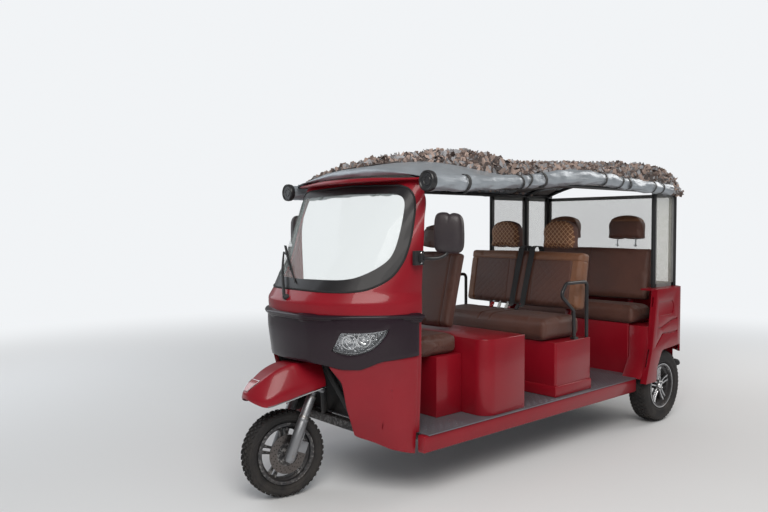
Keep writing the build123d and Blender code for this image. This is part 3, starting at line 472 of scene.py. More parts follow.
def withModifiers(mesh, name, *steps):
    # each step is (type, {settings}); the result is a plain mesh
    work = bpy.data.objects.new(name + "Work", mesh)
    linkObject(work)
    for kind, settings in steps:
        modifier = work.modifiers.new(kind.lower(), kind)
        for key, value in settings.items():
            setattr(modifier, key, value)
    graph = bpy.context.evaluated_depsgraph_get()
    graph.update()
    done = bpy.data.meshes.new_from_object(work.evaluated_get(graph))
    bpy.data.objects.remove(work)
    return done


def welded(node, bevel, move=None):
    # a CAD node's own shape, welded, with softened edges
    bm = bmesh.new()
    bm.from_mesh(nodes[node].data)
    bmesh.ops.remove_doubles(bm, verts=bm.verts, dist=1e-5)
    bmesh.ops.dissolve_limit(bm, angle_limit=math.radians(0.6), verts=bm.verts, edges=bm.edges)
    if move:
        for vertex in bm.verts:
            vertex.co = move(vertex.co)
    mesh = meshFrom(bm, node)
    return withModifiers(mesh, node, softEdges(bevel, 2, 38)) if bevel else mesh


def tubeMesh(bm, points, radius, sides=12, closed=False, ends=True):
    # round tube along points; radius is a number or a function of the share of the way along
    count = len(points)
    rings = []
    before = None
    for index, point in enumerate(points):
        point = Vector(point)
        ahead = Vector(points[(index + 1) % count] if closed or index + 1 < count else points[index])
        back = Vector(points[index - 1] if closed or index else points[0])
        along = (ahead - back).normalized()
        if before is None:
            before = along.orthogonal().normalized()
        before = (before - along * before.dot(along)).normalized()
        other = along.cross(before)
        size = radius(index / max(count - 1, 1)) if callable(radius) else radius
        rings.append([bm.verts.new(point + (before * math.cos(a) + other * math.sin(a)) * size)
                      for a in (2 * math.pi * k / sides for k in range(sides))])
    for index in range(count if closed else count - 1):
        lower, upper = rings[index], rings[(index + 1) % count]
        for k in range(sides):
            bm.faces.new((lower[k], lower[(k + 1) % sides], upper[(k + 1) % sides], upper[k]))
    if ends and not closed:
        bm.faces.new(list(reversed(rings[0])))
        bm.faces.new(rings[-1])


def smoothPath(points, steps=6, closed=False):
    # Catmull-Rom through the points
    points = [Vector(p) for p in points]
    count = len(points)
    path = []
    for index in range(count if closed else count - 1):
        a = points[index - 1] if closed or index else points[0]
        b, c = points[index], points[(index + 1) % count]
        d = points[(index + 2) % count] if closed or index + 2 < count else points[-1]
        for step in range(steps):
            t = step / steps
            path.append(0.5 * ((2 * b) + (c - a) * t + (2 * a - 5 * b + 4 * c - d) * t * t
                               + (3 * b - a - 3 * c + d) * t ** 3))
    if not closed:
        path.append(points[-1])
    return path


def boxMesh(bm, low, high, place=None):
    corners = [Vector((x, y, z)) for x in (low[0], high[0]) for y in (low[1], high[1])
               for z in (low[2], high[2])]
    made = [bm.verts.new(place @ c if place else c) for c in corners]
    for face in ((0, 1, 3, 2), (4, 6, 7, 5), (0, 4, 5, 1), (2, 3, 7, 6), (0, 2, 6, 4), (1, 5, 7, 3)):
        bm.faces.new([made[k] for k in face])
    return made


def latheMesh(bm, profile, segments=64, place=None, closed=True):
    # profile of (x along the axle, radius), turned round the X axis
    rings = []
    for k in range(segments):
        a = 2 * math.pi * k / segments
        ring = []
        for x, r in profile:
            point = Vector((x, r * math.cos(a), r * math.sin(a)))
            ring.append(bm.verts.new(place @ point if place else point))
        rings.append(ring)
    count = len(profile)
    for k in range(segments):
        here, after = rings[k], rings[(k + 1) % segments]
        for j in range(count if closed else count - 1):
            bm.faces.new((here[j], here[(j + 1) % count], after[(j + 1) % count], after[j]))


def eased(t):
    t = max(0.0, min(1.0, t))
    return t * t * (3 - 2 * t)


def at(x, ahead, z):
    return Vector((x, axleY - ahead, z))


# Steering frame: z up the steering axis, -y forward, turned to its parked angle

steerAxis = Vector((0, 0.422618, 0.906308))
steerFoot = Vector((0, -1.50331, 0.22032))
parkedTurn = Matrix.Rotation(math.radians(-9), 3, steerAxis)
steerPlace = Matrix.Translation(steerFoot) @ (parkedTurn
                                              @ Matrix(((1, 0, 0), (0, 0.906308, 0.422618),
                                                        (0, -0.422618, 0.906308)))).to_4x4()
frontWheelPlace = Matrix.Translation((-0.004693, -1.53033, 0.23249)) @ parkedTurn.to_4x4()
rearWheelPlaces = {"left": Matrix.Translation((0.5875, 1.4045, 0.268)),
                   "right": Matrix.Translation((-0.5875, 1.4045, 0.268)) @ Matrix.Scale(-1, 4, (1, 0, 0))}
print("helpers ready")


# Geometry Nodes for what repeats

def startNodes(name, inputs):
    tree = bpy.data.node_groups.new(name, "GeometryNodeTree")
    tree.interface.new_socket(name="Geometry", in_out="INPUT", socket_type="NodeSocketGeometry")
    for label, kind, default in inputs:
        socket = tree.interface.new_socket(name=label, in_out="INPUT", socket_type="NodeSocket" + kind)
        if default is not None:
            socket.default_value = default
    tree.interface.new_socket(name="Geometry", in_out="OUTPUT", socket_type="NodeSocketGeometry")
    return tree, tree.nodes.new("NodeGroupInput").outputs, tree.nodes.new("NodeGroupOutput").inputs


def endNodes(tree, out, instances, finish):
    solid = addNode(tree, "GeometryNodeRealizeInstances", None, i0=instances).outputs[0]
    done = addNode(tree, "GeometryNodeSetMaterial", None, Geometry=solid, Material=finish).outputs[0]
    tree.links.new(done, out["Geometry"])
    return tree


def buildRing():
    tree, given, out = startNodes("ringOfCopies", [("Piece", "Object", None), ("Count", "Int", 12),
                                                   ("Phase", "Float", 0.0), ("Finish", "Material", None)])
    spots = addNode(tree, "GeometryNodePoints", None, Count=given["Count"]).outputs[0]
    index = addNode(tree, "GeometryNodeInputIndex").outputs[0]
    turn = mathNode(tree, "ADD", mathNode(tree, "DIVIDE", mathNode(tree, "MULTIPLY", index, 2 * math.pi),
                                          given["Count"]), given["Phase"])
    angles = addNode(tree, "ShaderNodeCombineXYZ", None, i0=turn).outputs[0]
    piece = addNode(tree, "GeometryNodeObjectInfo", None, Object=given["Piece"]).outputs["Geometry"]
    copies = addNode(tree, "GeometryNodeInstanceOnPoints", None, Points=spots, Instance=piece,
                     Rotation=angles).outputs[0]
    return endNodes(tree, out, copies, given["Finish"])


def buildGrid():
    tree, given, out = startNodes("gridOfCopies", [("Piece", "Object", None), ("Across", "Int", 10),
                                                   ("Along", "Int", 10), ("Width", "Float", 1.0),
                                                   ("Length", "Float", 1.0), ("Centre", "Vector", None),
                                                   ("Finish", "Material", None)])
    spots = addNode(tree, "GeometryNodeMeshGrid", None, Size_X=given["Width"], Size_Y=given["Length"],
                    Vertices_X=given["Across"], Vertices_Y=given["Along"]).outputs[0]
    index = addNode(tree, "GeometryNodeInputIndex").outputs[0]
    row = mathNode(tree, "FLOOR", mathNode(tree, "DIVIDE", index, given["Along"]))
    checker = mathNode(tree, "MODULO", mathNode(tree, "ADD", row,
                                                mathNode(tree, "MODULO", index, given["Along"])), 2.0)
    turn = mathNode(tree, "ADD", mathNode(tree, "MULTIPLY", checker, math.pi / 2), math.pi / 4)
    angles = addNode(tree, "ShaderNodeCombineXYZ", None, i2=turn).outputs[0]
    piece = addNode(tree, "GeometryNodeObjectInfo", None, Object=given["Piece"]).outputs["Geometry"]
    copies = addNode(tree, "GeometryNodeInstanceOnPoints", None, Points=spots, Instance=piece,
                     Rotation=angles).outputs[0]
    moved = addNode(tree, "GeometryNodeTransform", None, Geometry=copies,
                    Translation=given["Centre"]).outputs[0]
    return endNodes(tree, out, moved, given["Finish"])


def buildScatter():
    # copies strewn over a surface, each with its own turn and size
    tree, given, out = startNodes("strewnCopies", [("Piece", "Object", None), ("Spacing", "Float", 0.02),
                                                   ("Density", "Float", 900.0), ("Seed", "Int", 3),
                                                   ("Smallest", "Float", 0.6), ("Largest", "Float", 1.4),
                                                   ("Finish", "Material", None)])
    spots = addNode(tree, "GeometryNodeDistributePointsOnFaces", {"distribute_method": "POISSON"},
                    Mesh=given["Geometry"], Distance_Min=given["Spacing"], Density_Max=given["Density"],
                    Seed=given["Seed"]).outputs[0]
    turn = addNode(tree, "FunctionNodeRandomValue", {"data_type": "FLOAT_VECTOR"}, i0=(-3.1, -3.1, -3.1),
                   i1=(3.1, 3.1, 3.1)).outputs[0]
    size = tree.nodes.new("FunctionNodeRandomValue")
    size.data_type = "FLOAT"
    tree.links.new(given["Smallest"], size.inputs[2])
    tree.links.new(given["Largest"], size.inputs[3])
    piece = addNode(tree, "GeometryNodeObjectInfo", None, Object=given["Piece"]).outputs["Geometry"]
    copies = addNode(tree, "GeometryNodeInstanceOnPoints", None, Points=spots, Instance=piece, Rotation=turn,
                     Scale=size.outputs[1]).outputs[0]
    return endNodes(tree, out, copies, given["Finish"])


ringOfCopies, gridOfCopies, strewnCopies = buildRing(), buildGrid(), buildScatter()


def runNodes(tree, name, base=None, piece=None, **values):
    # runs a tree on a plain mesh and returns the made mesh; the work objects are removed
    spare = bpy.data.meshes.new(name + "Spare")
    work = bpy.data.objects.new(name + "Work", base or spare)
    linkObject(work)
    source = None
    if piece:
        source = bpy.data.objects.new(name + "Source", piece)
        linkObject(source)
        values["Piece"] = source
    modifier = work.modifiers.new("nodes", "NODES")
    modifier.node_group = tree
    for item in tree.interface.items_tree:
        if item.in_out == "INPUT" and item.name in values:
            modifier[item.identifier] = values[item.name]
    bpy.context.view_layer.update()
    graph = bpy.context.evaluated_depsgraph_get()
    made = bpy.data.meshes.new_from_object(work.evaluated_get(graph))
    bpy.data.objects.remove(work)
    if source:
        bpy.data.objects.remove(source)
    return made


def joined(name, parts, place=None):
    # one mesh from several, moved to their place; the finishes come along
    bm = bmesh.new()
    kept = []
    for mesh in parts:
        slots = []
        for material in mesh.materials:
            if material not in kept:
                kept.append(material)
            slots.append(kept.index(material))
        copy = mesh.copy()
        if place is not None:
            copy.transform(place)
            if place.determinant() < 0:
                copy.flip_normals()
        first = len(bm.faces)
        bm.from_mesh(copy)
        bm.faces.ensure_lookup_table()
        for face in bm.faces[first:]:
            face.material_index = slots[face.material_index] if slots else 0
        bpy.data.meshes.remove(copy)
    mesh = meshFrom(bm, name)
    for material in kept:
        mesh.materials.append(material)
    return mesh


def painted(bm, name, finish, outward=True):
    mesh = meshFrom(bm, name, outward)
    mesh.materials.append(finishes[finish])
    return mesh


# Wheels, made about the X axis with the outer side towards +X

tyres = {
    "front": {"radius": 0.233, "width": 0.118, "rows": ((0.0, 44, 0.013, 0.017), (0.023, 44, 0.015, 0.014),
                                                        (0.046, 44, 0.013, 0.011)), "blockDepth": 0.011},
    "rear": {"radius": 0.268, "width": 0.145, "rows": ((0.0, 52, 0.014, 0.02), (0.028, 52, 0.017, 0.017),
                                                       (0.056, 52, 0.015, 0.013)), "blockDepth": 0.012},
}
rims = {"flange": 0.166, "spokePairs": 5, "nuts": 5, "nutCircle": 0.035}


def tyreProfile(size):
    h, r, groove = size["width"] / 2, size["radius"], 0.008
    foot, bead, lip = h - 0.0205, rims["flange"] - 0.010, rims["flange"] + 0.002
    half = [(0.0, r - groove), (h - 0.026, r - groove - 0.0015), (h - 0.014, r - 0.012),
            (h - 0.008, r - 0.018), (h - 0.0035, r - 0.028), (h - 0.0008, (lip + r) / 2 + 0.008),
            (h, (lip + r) / 2), (h - 0.0012, (lip + r) / 2 - 0.008), (h - 0.0030, lip + 0.020),
            (h - 0.0018, lip + 0.017), (h - 0.0040, lip + 0.013), (h - 0.0085, lip + 0.006), (foot, lip),
            (foot, bead), (foot - 0.012, bead), (foot - 0.012, lip + 0.004), (h - 0.020, (lip + r) / 2),
            (h - 0.026, r - 0.022), (0.0, r - 0.020)]
    return half + [(-x, z) for x, z in reversed(half[1:-1])]


def tyreMesh(kind):
    size = tyres[kind]
    bm = bmesh.new()
    latheMesh(bm, tyreProfile(size), 96)
    parts = [painted(bm, kind + "Carcass", "tyre")]
    r, depth = size["radius"], size["blockDepth"]
    for index, (offset, count, width, length) in enumerate(size["rows"]):
        for side in ((1,) if offset == 0 else (1, -1)):
            block = bmesh.new()
            lean = math.radians(26) * side if offset > 0.04 else 0
            drop = 0.0 if offset < 0.01 else (0.0010 if offset < 0.04 else 0.0062)
            slant = 0.004 * (1 if (index + (side > 0)) % 2 else -1)
            made = boxMesh(block, (-width / 2, -length / 2, -depth), (width / 2, length / 2, 0))
            for vertex in made:
                inset = 1.0 if vertex.co.z < -depth / 2 else 0.86
                vertex.co.x *= inset
                vertex.co.y = vertex.co.y * inset + slant * (1 if vertex.co.x > 0 else -1)
            place = Matrix.Translation((offset * side, 0, r - drop)) @ Matrix.Rotation(lean, 4, "Y")
            bmesh.ops.transform(block, matrix=place, verts=block.verts)
            ring = runNodes(ringOfCopies, kind + "Tread", piece=meshFrom(block, "treadBlock", True),
                            Count=count, Phase=math.pi / count * (index % 2), Finish=finishes["tyre"])
            parts.append(ring)
    return joined(kind + "Tyre", parts)


def spokeMesh(well, face, spread, width, depth):
    # one spoke from the hub out to the rim, dished and tapered
    bm = bmesh.new()
    rings = []
    stations = ((0.026, 0.90, 0.0), (0.045, 0.82, 0.0015), (0.075, 0.78, 0.0045), (0.105, 0.86, 0.004),
                (well + 0.004, 1.25, 0.0))
    for radius, wide, dish in stations:
        y = spread * (0.62 + 0.38 * radius / well)
        half = width * wide / 2
        x = face - dish
        section = [(x - depth, y - half * 1.15), (x - 0.003, y - half), (x, y - half * 0.72),
                   (x, y + half * 0.72), (x - 0.003, y + half), (x - depth, y + half * 1.15)]
        rings.append([bm.verts.new((a, b, radius)) for a, b in section])
    bridge(bm, rings)
    bm.faces.new(list(reversed(rings[0])))
    bm.faces.new(rings[-1])
    return meshFrom(bm, "spoke", True)


def rimMesh(kind, width, face, hubHalf, bore, barrelFinish, spokeFinish):
    half, flange = width / 2 - 0.012, rims["flange"]
    seat = flange - 0.0103
    well = seat - 0.018
    profile = [(half, flange), (half + 0.0006, flange - 0.003), (half, seat - 0.007),
               (half - 0.024, seat - 0.009), (half - 0.032, well - 0.006), (0.032 - half, well - 0.006),
               (0.024 - half, seat - 0.009), (-half, seat - 0.007), (-half - 0.0006, flange - 0.003),
               (-half, flange), (0.005 - half, flange), (0.008 - half, seat), (0.026 - half, seat - 0.002),
               (0.036 - half, well), (half - 0.036, well), (half - 0.026, seat - 0.002),
               (half - 0.008, seat), (half - 0.005, flange)]
    bm = bmesh.new()
    latheMesh(bm, profile, 96)
    parts = [painted(bm, kind + "Barrel", barrelFinish)]
    lip = bmesh.new()
    latheMesh(lip, [(half - 0.001, flange - 0.0005), (half + 0.0012, flange - 0.002),
                    (half + 0.0012, flange - 0.006), (half - 0.001, flange - 0.0085)], 96)
    parts.append(painted(lip, kind + "Lip", spokeFinish))
    hub = bmesh.new()
    latheMesh(hub, [(-hubHalf, bore), (-hubHalf, 0.031), (face - 0.03, 0.032), (face - 0.026, 0.046),
                    (face - 0.004, 0.046), (face, 0.043), (face, 0.026), (face - 0.006, 0.024),
                    (face - 0.006, bore)], 48)
    parts.append(painted(hub, kind + "Hub", barrelFinish))
    for side in (1, -1):
        spoke = spokeMesh(well - 0.006, face - 0.001, side * 0.017, 0.0150, 0.020)
        arms = runNodes(ringOfCopies, kind + "Spokes", piece=spoke, Count=rims["spokePairs"], Phase=0.0,
                        Finish=finishes[spokeFinish])
        parts.append(arms)
    nut = bmesh.new()
    bmesh.ops.create_cone(nut, cap_ends=True, segments=6, radius1=0.0075, radius2=0.0068, depth=0.010)
    bmesh.ops.transform(nut, matrix=Matrix.Translation((face + 0.003, 0, rims["nutCircle"]))
                        @ turnBy(90, "Y"), verts=nut.verts)
    parts.append(runNodes(ringOfCopies, kind + "Nuts", piece=meshFrom(nut, "nut", True), Count=rims["nuts"],
                          Phase=0.3, Finish=finishes["chrome"]))
    valve = bmesh.new()
    tubeMesh(valve, [(half - 0.034, 0.02, well - 0.008), (half - 0.024, 0.02, well - 0.022),
                     (half - 0.014, 0.02, well - 0.034)], 0.003, 8)
    parts.append(painted(valve, kind + "Valve", "rubber"))
    return parts


def wheelPieces():
    frontTyre = joined("frontTyreMesh", [tyreMesh("front")], frontWheelPlace)
    makeObject("frontTyrePiece", frontTyre, None, "front_wheel", ["front_tyre"], 40)
    parts = rimMesh("front", 0.118, 0.024, 0.051, 0.00905, "alloyDark", "alloyDark")
    disc = bmesh.new()
    latheMesh(disc, [(0.054, 0.062), (0.054, 0.105), (0.058, 0.105), (0.058, 0.062)], 72)
    carrier = bmesh.new()
    latheMesh(carrier, [(0.051, 0.010), (0.051, 0.066), (0.055, 0.066), (0.055, 0.010)], 48)
    parts += [painted(disc, "brakeDisc", "disc"), painted(carrier, "discCarrier", "alloyDark")]
    # the drilled holes are black discs set through the rotor: painted shade in place of open holes
    hole = bmesh.new()
    bmesh.ops.create_cone(hole, cap_ends=True, segments=10, radius1=0.0035, radius2=0.0035, depth=0.0046)
    bmesh.ops.transform(hole, matrix=Matrix.Translation((0.056, 0, 0)) @ turnBy(90, "Y"), verts=hole.verts)
    for count, radius, phase in ((18, 0.074, 0.0), (18, 0.084, 0.12), (18, 0.095, 0.24)):
        dot = hole.copy()
        bmesh.ops.translate(dot, vec=(0, 0, radius), verts=dot.verts)
        parts.append(runNodes(ringOfCopies, "discHoles", piece=meshFrom(dot, "paintedShadeHole", True), Count=count,
                              Phase=phase, Finish=finishes["rubber"]))
    hole.free()
    placed = joined("frontRimMesh", parts, frontWheelPlace)
    makeObject("frontRimPiece", placed, None, "front_wheel", ["front_rim"], 35)
    for side, place in rearWheelPlaces.items():
        tyre = joined("rearTyreMesh", [tyreMesh("rear")], place)
        makeObject("rearTyre" + side.title(), tyre, None, "rear_wheel_" + side, ["rear_tyre_" + side],
                   40)
        parts = rimMesh("rear", 0.145, 0.044, 0.05, 0.01505, "alloyDark", "alloyBright")
        cap = bmesh.new()
        latheMesh(cap, [(0.036, 0.0155), (0.036, 0.026), (0.046, 0.0255), (0.052, 0.022), (0.055, 0.014),
                        (0.056, 0.004), (0.056, 0.0005), (0.050, 0.0005), (0.050, 0.0155)], 40)
        parts.append(painted(cap, "hubCap", "chrome"))
        rim = joined("rearRimMesh", parts, place)
        makeObject("rearRim" + side.title(), rim, None, "rear_wheel_" + side, ["rear_rim_" + side],
                   35)


wheelPieces()
print("wheels ready")


# Seats

pads = {
    # size (x, front to back, height), centre, lean back in degrees, corner radius,
    # voxel, pressure of the cloth run and the most it may swell
    "middleCushion": {"size": (1.050, 0.440, 0.128), "centre": at(0, 1.076, 0.789), "lean": 0,
                      "radius": 0.036, "voxel": 0.008, "pressure": 3.6, "cap": 0.014, "fill": 0.8},
    "rearCushion": {"size": (1.105, 0.292, 0.116), "centre": at(0, 0.103, 0.8055), "lean": 0,
                    "radius": 0.034, "voxel": 0.008, "pressure": 3.6, "cap": 0.013, "fill": 0.8},
    "driverCushion": {"size": (0.790, 0.312, 0.102), "centre": at(0, 2.108, 0.773), "lean": 0,
                      "radius": 0.03, "voxel": 0.007, "pressure": 3.4, "cap": 0.012, "fill": 0.8},
    "middleBack": {"size": (1.034, 0.100, 0.424), "centre": at(0, 0.8155, 1.083), "lean": 10,
                   "radius": 0.030, "voxel": 0.007, "pressure": 3.2, "cap": 0.010, "fill": 0.7},
    "rearBack": {"size": (1.052, 0.066, 0.424), "centre": at(0, -0.0604, 1.091), "lean": 10,
                 "radius": 0.026, "voxel": 0.008, "pressure": 3.2, "cap": 0.010, "fill": 0.7},
    "driverBack": {"size": (0.432, 0.062, 0.510), "centre": at(0, 1.776, 1.064), "lean": 14,
                   "radius": 0.024, "voxel": 0.007, "pressure": 3.2, "cap": 0.010, "fill": 0.7},
    "middleRest": {"size": (0.262, 0.080, 0.204), "centre": at(0, 0.718, 1.405), "lean": 2, "radius": 0.026,
                   "voxel": 0.005, "pressure": 4.0, "cap": 0.008, "fill": 0.8},
    "rearRest": {"size": (0.290, 0.076, 0.186), "centre": at(0, -0.105, 1.453), "lean": 2, "radius": 0.030,
                 "voxel": 0.005, "pressure": 4.0, "cap": 0.008, "fill": 0.8},
    "driverRest": {"size": (0.252, 0.074, 0.150), "centre": at(0, 1.713, 1.402), "lean": 6, "radius": 0.030,
                   "voxel": 0.005, "pressure": 4.0, "cap": 0.008, "fill": 0.8},
}


def blankPad(pad, rounder=0.0):
    w, d, h = (s / 2 for s in pad["size"])
    bm = bmesh.new()
    boxMesh(bm, (-w, -d, -h), (w, d, h))
    bmesh.ops.subdivide_edges(bm, edges=bm.edges, cuts=9 if rounder else 3, use_grid_fill=True)
    for vertex in bm.verts:  # crowned faces, sides pulled in between the corners, a top that arches
        x, y, z = vertex.co.x / w, vertex.co.y / d, vertex.co.z / h
        vertex.co.z = h * (z * (1 - 0.05 * (1 - (1 - x * x) * (1 - y * y))))
        vertex.co.y = d * (y * (1 - 0.06 * (1 - (1 - x * x) * (1 - z * z))))
        vertex.co.x = w * (x * (1 - 0.012 * (1 - (1 - y * y) * (1 - z * z))))
        if rounder and z > 0:  # upper half drawn in to a dome
            reach = max(abs(x), z) / (abs(x) ** 2.4 + z ** 2.4) ** (1 / 2.4)
            vertex.co.x *= 1 + (reach - 1) * rounder
            vertex.co.z *= 1 + (reach - 1) * rounder
    mesh = meshFrom(bm, "blankPad", True)
    return withModifiers(mesh, "blankPad", softEdges(pad["radius"], 4, 50),
                         ("REMESH", {"mode": "VOXEL", "voxel_size": pad["voxel"], "use_smooth_shade": True}))


def inflated(mesh, pad):
    # short cloth run under pressure; how far a point may move is capped
    work = bpy.data.objects.new("padWork", mesh)
    linkObject(work)
    cloth = work.modifiers.new("cloth", "CLOTH")
    settings = cloth.settings
    settings.quality, settings.mass = 4, 0.25
    settings.use_pressure, settings.uniform_pressure_force = True, pad["pressure"]
    settings.tension_stiffness = settings.compression_stiffness = 22
    settings.shear_stiffness, settings.bending_stiffness = 8, 1.5
    settings.effector_weights.gravity = 0
    cloth.point_cache.frame_start, cloth.point_cache.frame_end = 1, 20
    start = [v.co.copy() for v in mesh.vertices]
    for step in range(1, 21):
        bpy.context.scene.frame_set(step)
    graph = bpy.context.evaluated_depsgraph_get()
    done = bpy.data.meshes.new_from_object(work.evaluated_get(graph))
    bpy.data.objects.remove(work)
    for vertex, before in zip(done.vertices, start):
        moved = vertex.co - before
        if moved.length > pad["cap"]:
            vertex.co = before + moved.normalized() * pad["cap"]
    bpy.context.scene.frame_set(1)
    return done


def diamonds(u, v, pitch, depth):
    # sewn diamond channels, as deep as they are near a line
    groove = 0.0
    for along in ((u + v) / pitch, (u - v) / pitch):
        near = (0.5 - abs(along - math.floor(along) - 0.5)) * pitch
        groove = max(groove, math.exp(-(near / 0.0035) ** 2))
    return depth * groove


def seam(distance, depth=0.006, width=0.005):
    return depth * math.exp(-(distance / width) ** 2)


def sewn(mesh, pad, sew):
    # sew(u, v, front) gives the groove's depth and the finish's index;
    # u runs across and v up, or back on a cushion
    flat = pad["lean"] == 0 and pad["size"][2] < pad["size"][1]
    mesh = withModifiers(mesh, "padFine", ("SUBSURF", {"levels": 1, "render_levels": 1}))
    normals = [v.normal.copy() for v in mesh.vertices]
    for vertex, normal in zip(mesh.vertices, normals):
        u, v = vertex.co.x, vertex.co.y if flat else vertex.co.z
        front = normal.z if flat else -normal.y
        vertex.co -= normal * sew(u, v, front)[0]
    layer = mesh.uv_layers.new(name="quiltMap")
    for face in mesh.polygons:
        centre, front = face.center, face.normal.z if flat else -face.normal.y
        face.material_index = sew(centre.x, centre.y if flat else centre.z, front)[1]
        for loop in face.loop_indices:
            point = mesh.vertices[mesh.loops[loop].vertex_index].co
            layer.data[loop].uv = (point.x, point.y if flat else point.z)
    return mesh


def placeOf(pad, x=0.0):
    centre = Vector(pad["centre"]) + Vector((x, 0, 0))
    return Matrix.Translation(centre) @ turnBy(-pad["lean"], "X")


def cushionSew(edges):
    def sew(u, v, front):
        depth = 0.0
        if front > 0.2:
            for line in edges:
                depth = max(depth, seam(u - line, 0.007, 0.006))
        return depth, 0
    return sew


def middleBackSew(u, v, front):
    # two seats: tan top band and outer bolsters, brown quilted middles
    inner = 0.050
    depth, index = seam(abs(u) - inner, 0.008, 0.006), 0
    if front > -0.2:
        depth = max(depth, seam(v - 0.135, 0.006, 0.005) if abs(u) > inner else 0)
        if v > 0.135 and abs(u) > inner:
            index = 1
        elif abs(u) > 0.425:
            index = 1
        if v < 0.135:
            depth = max(depth, seam(abs(u) - 0.425, 0.006, 0.005), seam(abs(u) - 0.110, 0.004, 0.004))
            if 0.11 < abs(u) < 0.425:
                depth = max(depth, diamonds(u, v, 0.052, 0.0022))
    return depth, index


def restSew(u, v, front):
    if front > 0.35:
        return diamonds(u, v, 0.036, 0.0020), 1
    return 0.0, 0


def plainRestSew(u, v, front):
    return (seam(v - 0.045, 0.003, 0.004) if front > 0 else 0.0), (1 if v > 0.045 and front > -0.3 else 0)


def buildPad(name, key, sew, materials, replaced, spots=(0.0,), rounder=0.0):
    pad = pads[key]
    made = sewn(inflated(blankPad(pad, rounder), pad), pad, sew)
    for material in materials:
        made.materials.append(finishes[material])
    for index, x in enumerate(spots):
        copy = made.copy()
        copy.transform(placeOf(pad, x))
        piece = makeObject(name + (str(index + 1) if len(spots) > 1 else ""), copy, None, "vehicle",
                           replaced, 80)


def seatPieces():
    buildPad("middleCushionPad", "middleCushion", cushionSew((-0.05, 0.05)), ["brown"], ["middle_cushion"])
    buildPad("rearCushionPad", "rearCushion", cushionSew((0.0,)), ["brown"], ["rear_cushion"])
    buildPad("driverCushionPad", "driverCushion", cushionSew((-0.2, 0.2)), ["brown"], ["driver_cushion"])
    buildPad("middleBackPad", "middleBack", middleBackSew, ["brown", "tan"], ["middle_backrest"])
    buildPad("rearBackPad", "rearBack", cushionSew((0.0,)), ["brown"], ["rear_backrest"])
    buildPad("driverBackPad", "driverBack", cushionSew((-0.14, 0.14)), ["brown"], ["driver_backrest"])
    buildPad("middleRestPad", "middleRest", restSew, ["brown", "quilt"], ["middle_backrest"],
             (-0.243, 0.243), 0.95)
    buildPad("rearRestPad", "rearRest", plainRestSew, ["brown", "tan"], ["rear_backrest"], (-0.288, 0.288),
             0.85)
    buildPad("driverRestPad", "driverRest", plainRestSew, ["brown", "brown"], ["driver_backrest"], (0.0,),
             0.80)
    posts = bmesh.new()
    for x in (-0.368, -0.212, 0.212, 0.368):
        tubeMesh(posts, [at(x, -0.094, 1.30), at(x, -0.102, 1.385)], 0.006, 12)
        latheMesh(posts, [(-0.004, 0.0065), (-0.004, 0.014), (0.002, 0.0135), (0.004, 0.0065)], 20,
                  Matrix.Translation(at(x, -0.0945, 1.311)) @ turnBy(-90, "Y"))
    makeObject("restPosts", painted(posts, "restPosts", "chrome"), None, "vehicle", ["rear_backrest"])


def beltPieces():
    # two belts down the middle of the backrest, and their buckles on the cushion
    belts = bmesh.new()
    lean = math.tan(math.radians(10))
    for x, foot in ((-0.008, -0.046), (0.092, 0.050)):
        line = [at(x, 0.735, 1.278), at(x, 0.752, 1.311), at(x, 0.800, 1.318), at(x, 0.843, 1.304)]
        line += [at(x + (foot - x) * t, 0.920 - (z - 0.866) * lean, z)
                 for t, z in ((0.05, 1.27), (0.3, 1.18), (0.55, 1.08), (0.8, 0.98), (1.0, 0.893))]
        line += [at(foot, 0.965, 0.884)]
        line = smoothPath(line, 5)
        verts = []
        for index, point in enumerate(line):
            along = (line[min(index + 1, len(line) - 1)] - line[max(index - 1, 0)]).normalized()
            out = along.cross(Vector((1, 0, 0))).normalized()
            if out.y > 0 and out.z < 0.2:
                out = -out
            verts.append([belts.verts.new(point + Vector((side * 0.023, 0, 0)) + out * lift)
                          for side, lift in ((-1, 0.0), (1, 0.0), (1, 0.0022), (-1, 0.0022))])
        bridge(belts, verts)
        belts.faces.new(list(reversed(verts[0])))
        belts.faces.new(verts[-1])
    makeObject("seatBelts", painted(belts, "seatBelts", "belt"), None, "vehicle", ["seat_belts"])
    buckles = []
    for x, tilt, colour in ((-0.046, -8, "white"), (0.050, 6, "plastic"), (-0.115, -14, "white"),
                            (-0.185, 10, "tailRed")):
        shell = bmesh.new()
        boxMesh(shell, (-0.012, -0.008, -0.024), (0.012, 0.008, 0.022))
        shape = withModifiers(meshFrom(shell, "buckle", True), "buckle", softEdges(0.005, 3))
        repaint(shape, colour)
        tongue = bmesh.new()
        boxMesh(tongue, (-0.0085, -0.0016, 0.020), (0.0085, 0.0016, 0.036))
        place = Matrix.Translation(at(x, 0.968, 0.884)) @ turnBy(tilt, "Y") @ turnBy(-38, "X")
        buckles.append(joined("buckle", [shape, painted(tongue, "tongue", "chrome")], place))
    makeObject("beltBuckles", joined("beltBuckles", buckles), None, "vehicle")


seatPieces()
beltPieces()
print("seats ready")


# Roof: sheet over the bows, a heap of netting on it, and the rolled side curtains

roof = {"half": 0.590, "front": 2.419, "back": -0.325, "rise": 0.115, "low": 1.741, "thick": 0.008,
        "netFront": 2.380, "netBack": -0.325, "bows": (2.38, 1.65, 0.85, 0.04, -0.277)}
# straps round the near roll (ahead), and how its radius and height change along it
rollShape = {"x": 0.590 + 0.016 + 0.052, "front": 2.490, "back": -0.080,
             "straps": (2.203, 1.736, 1.664, 1.525, 0.868, 0.655, 0.557, 0.216, 0.091)}
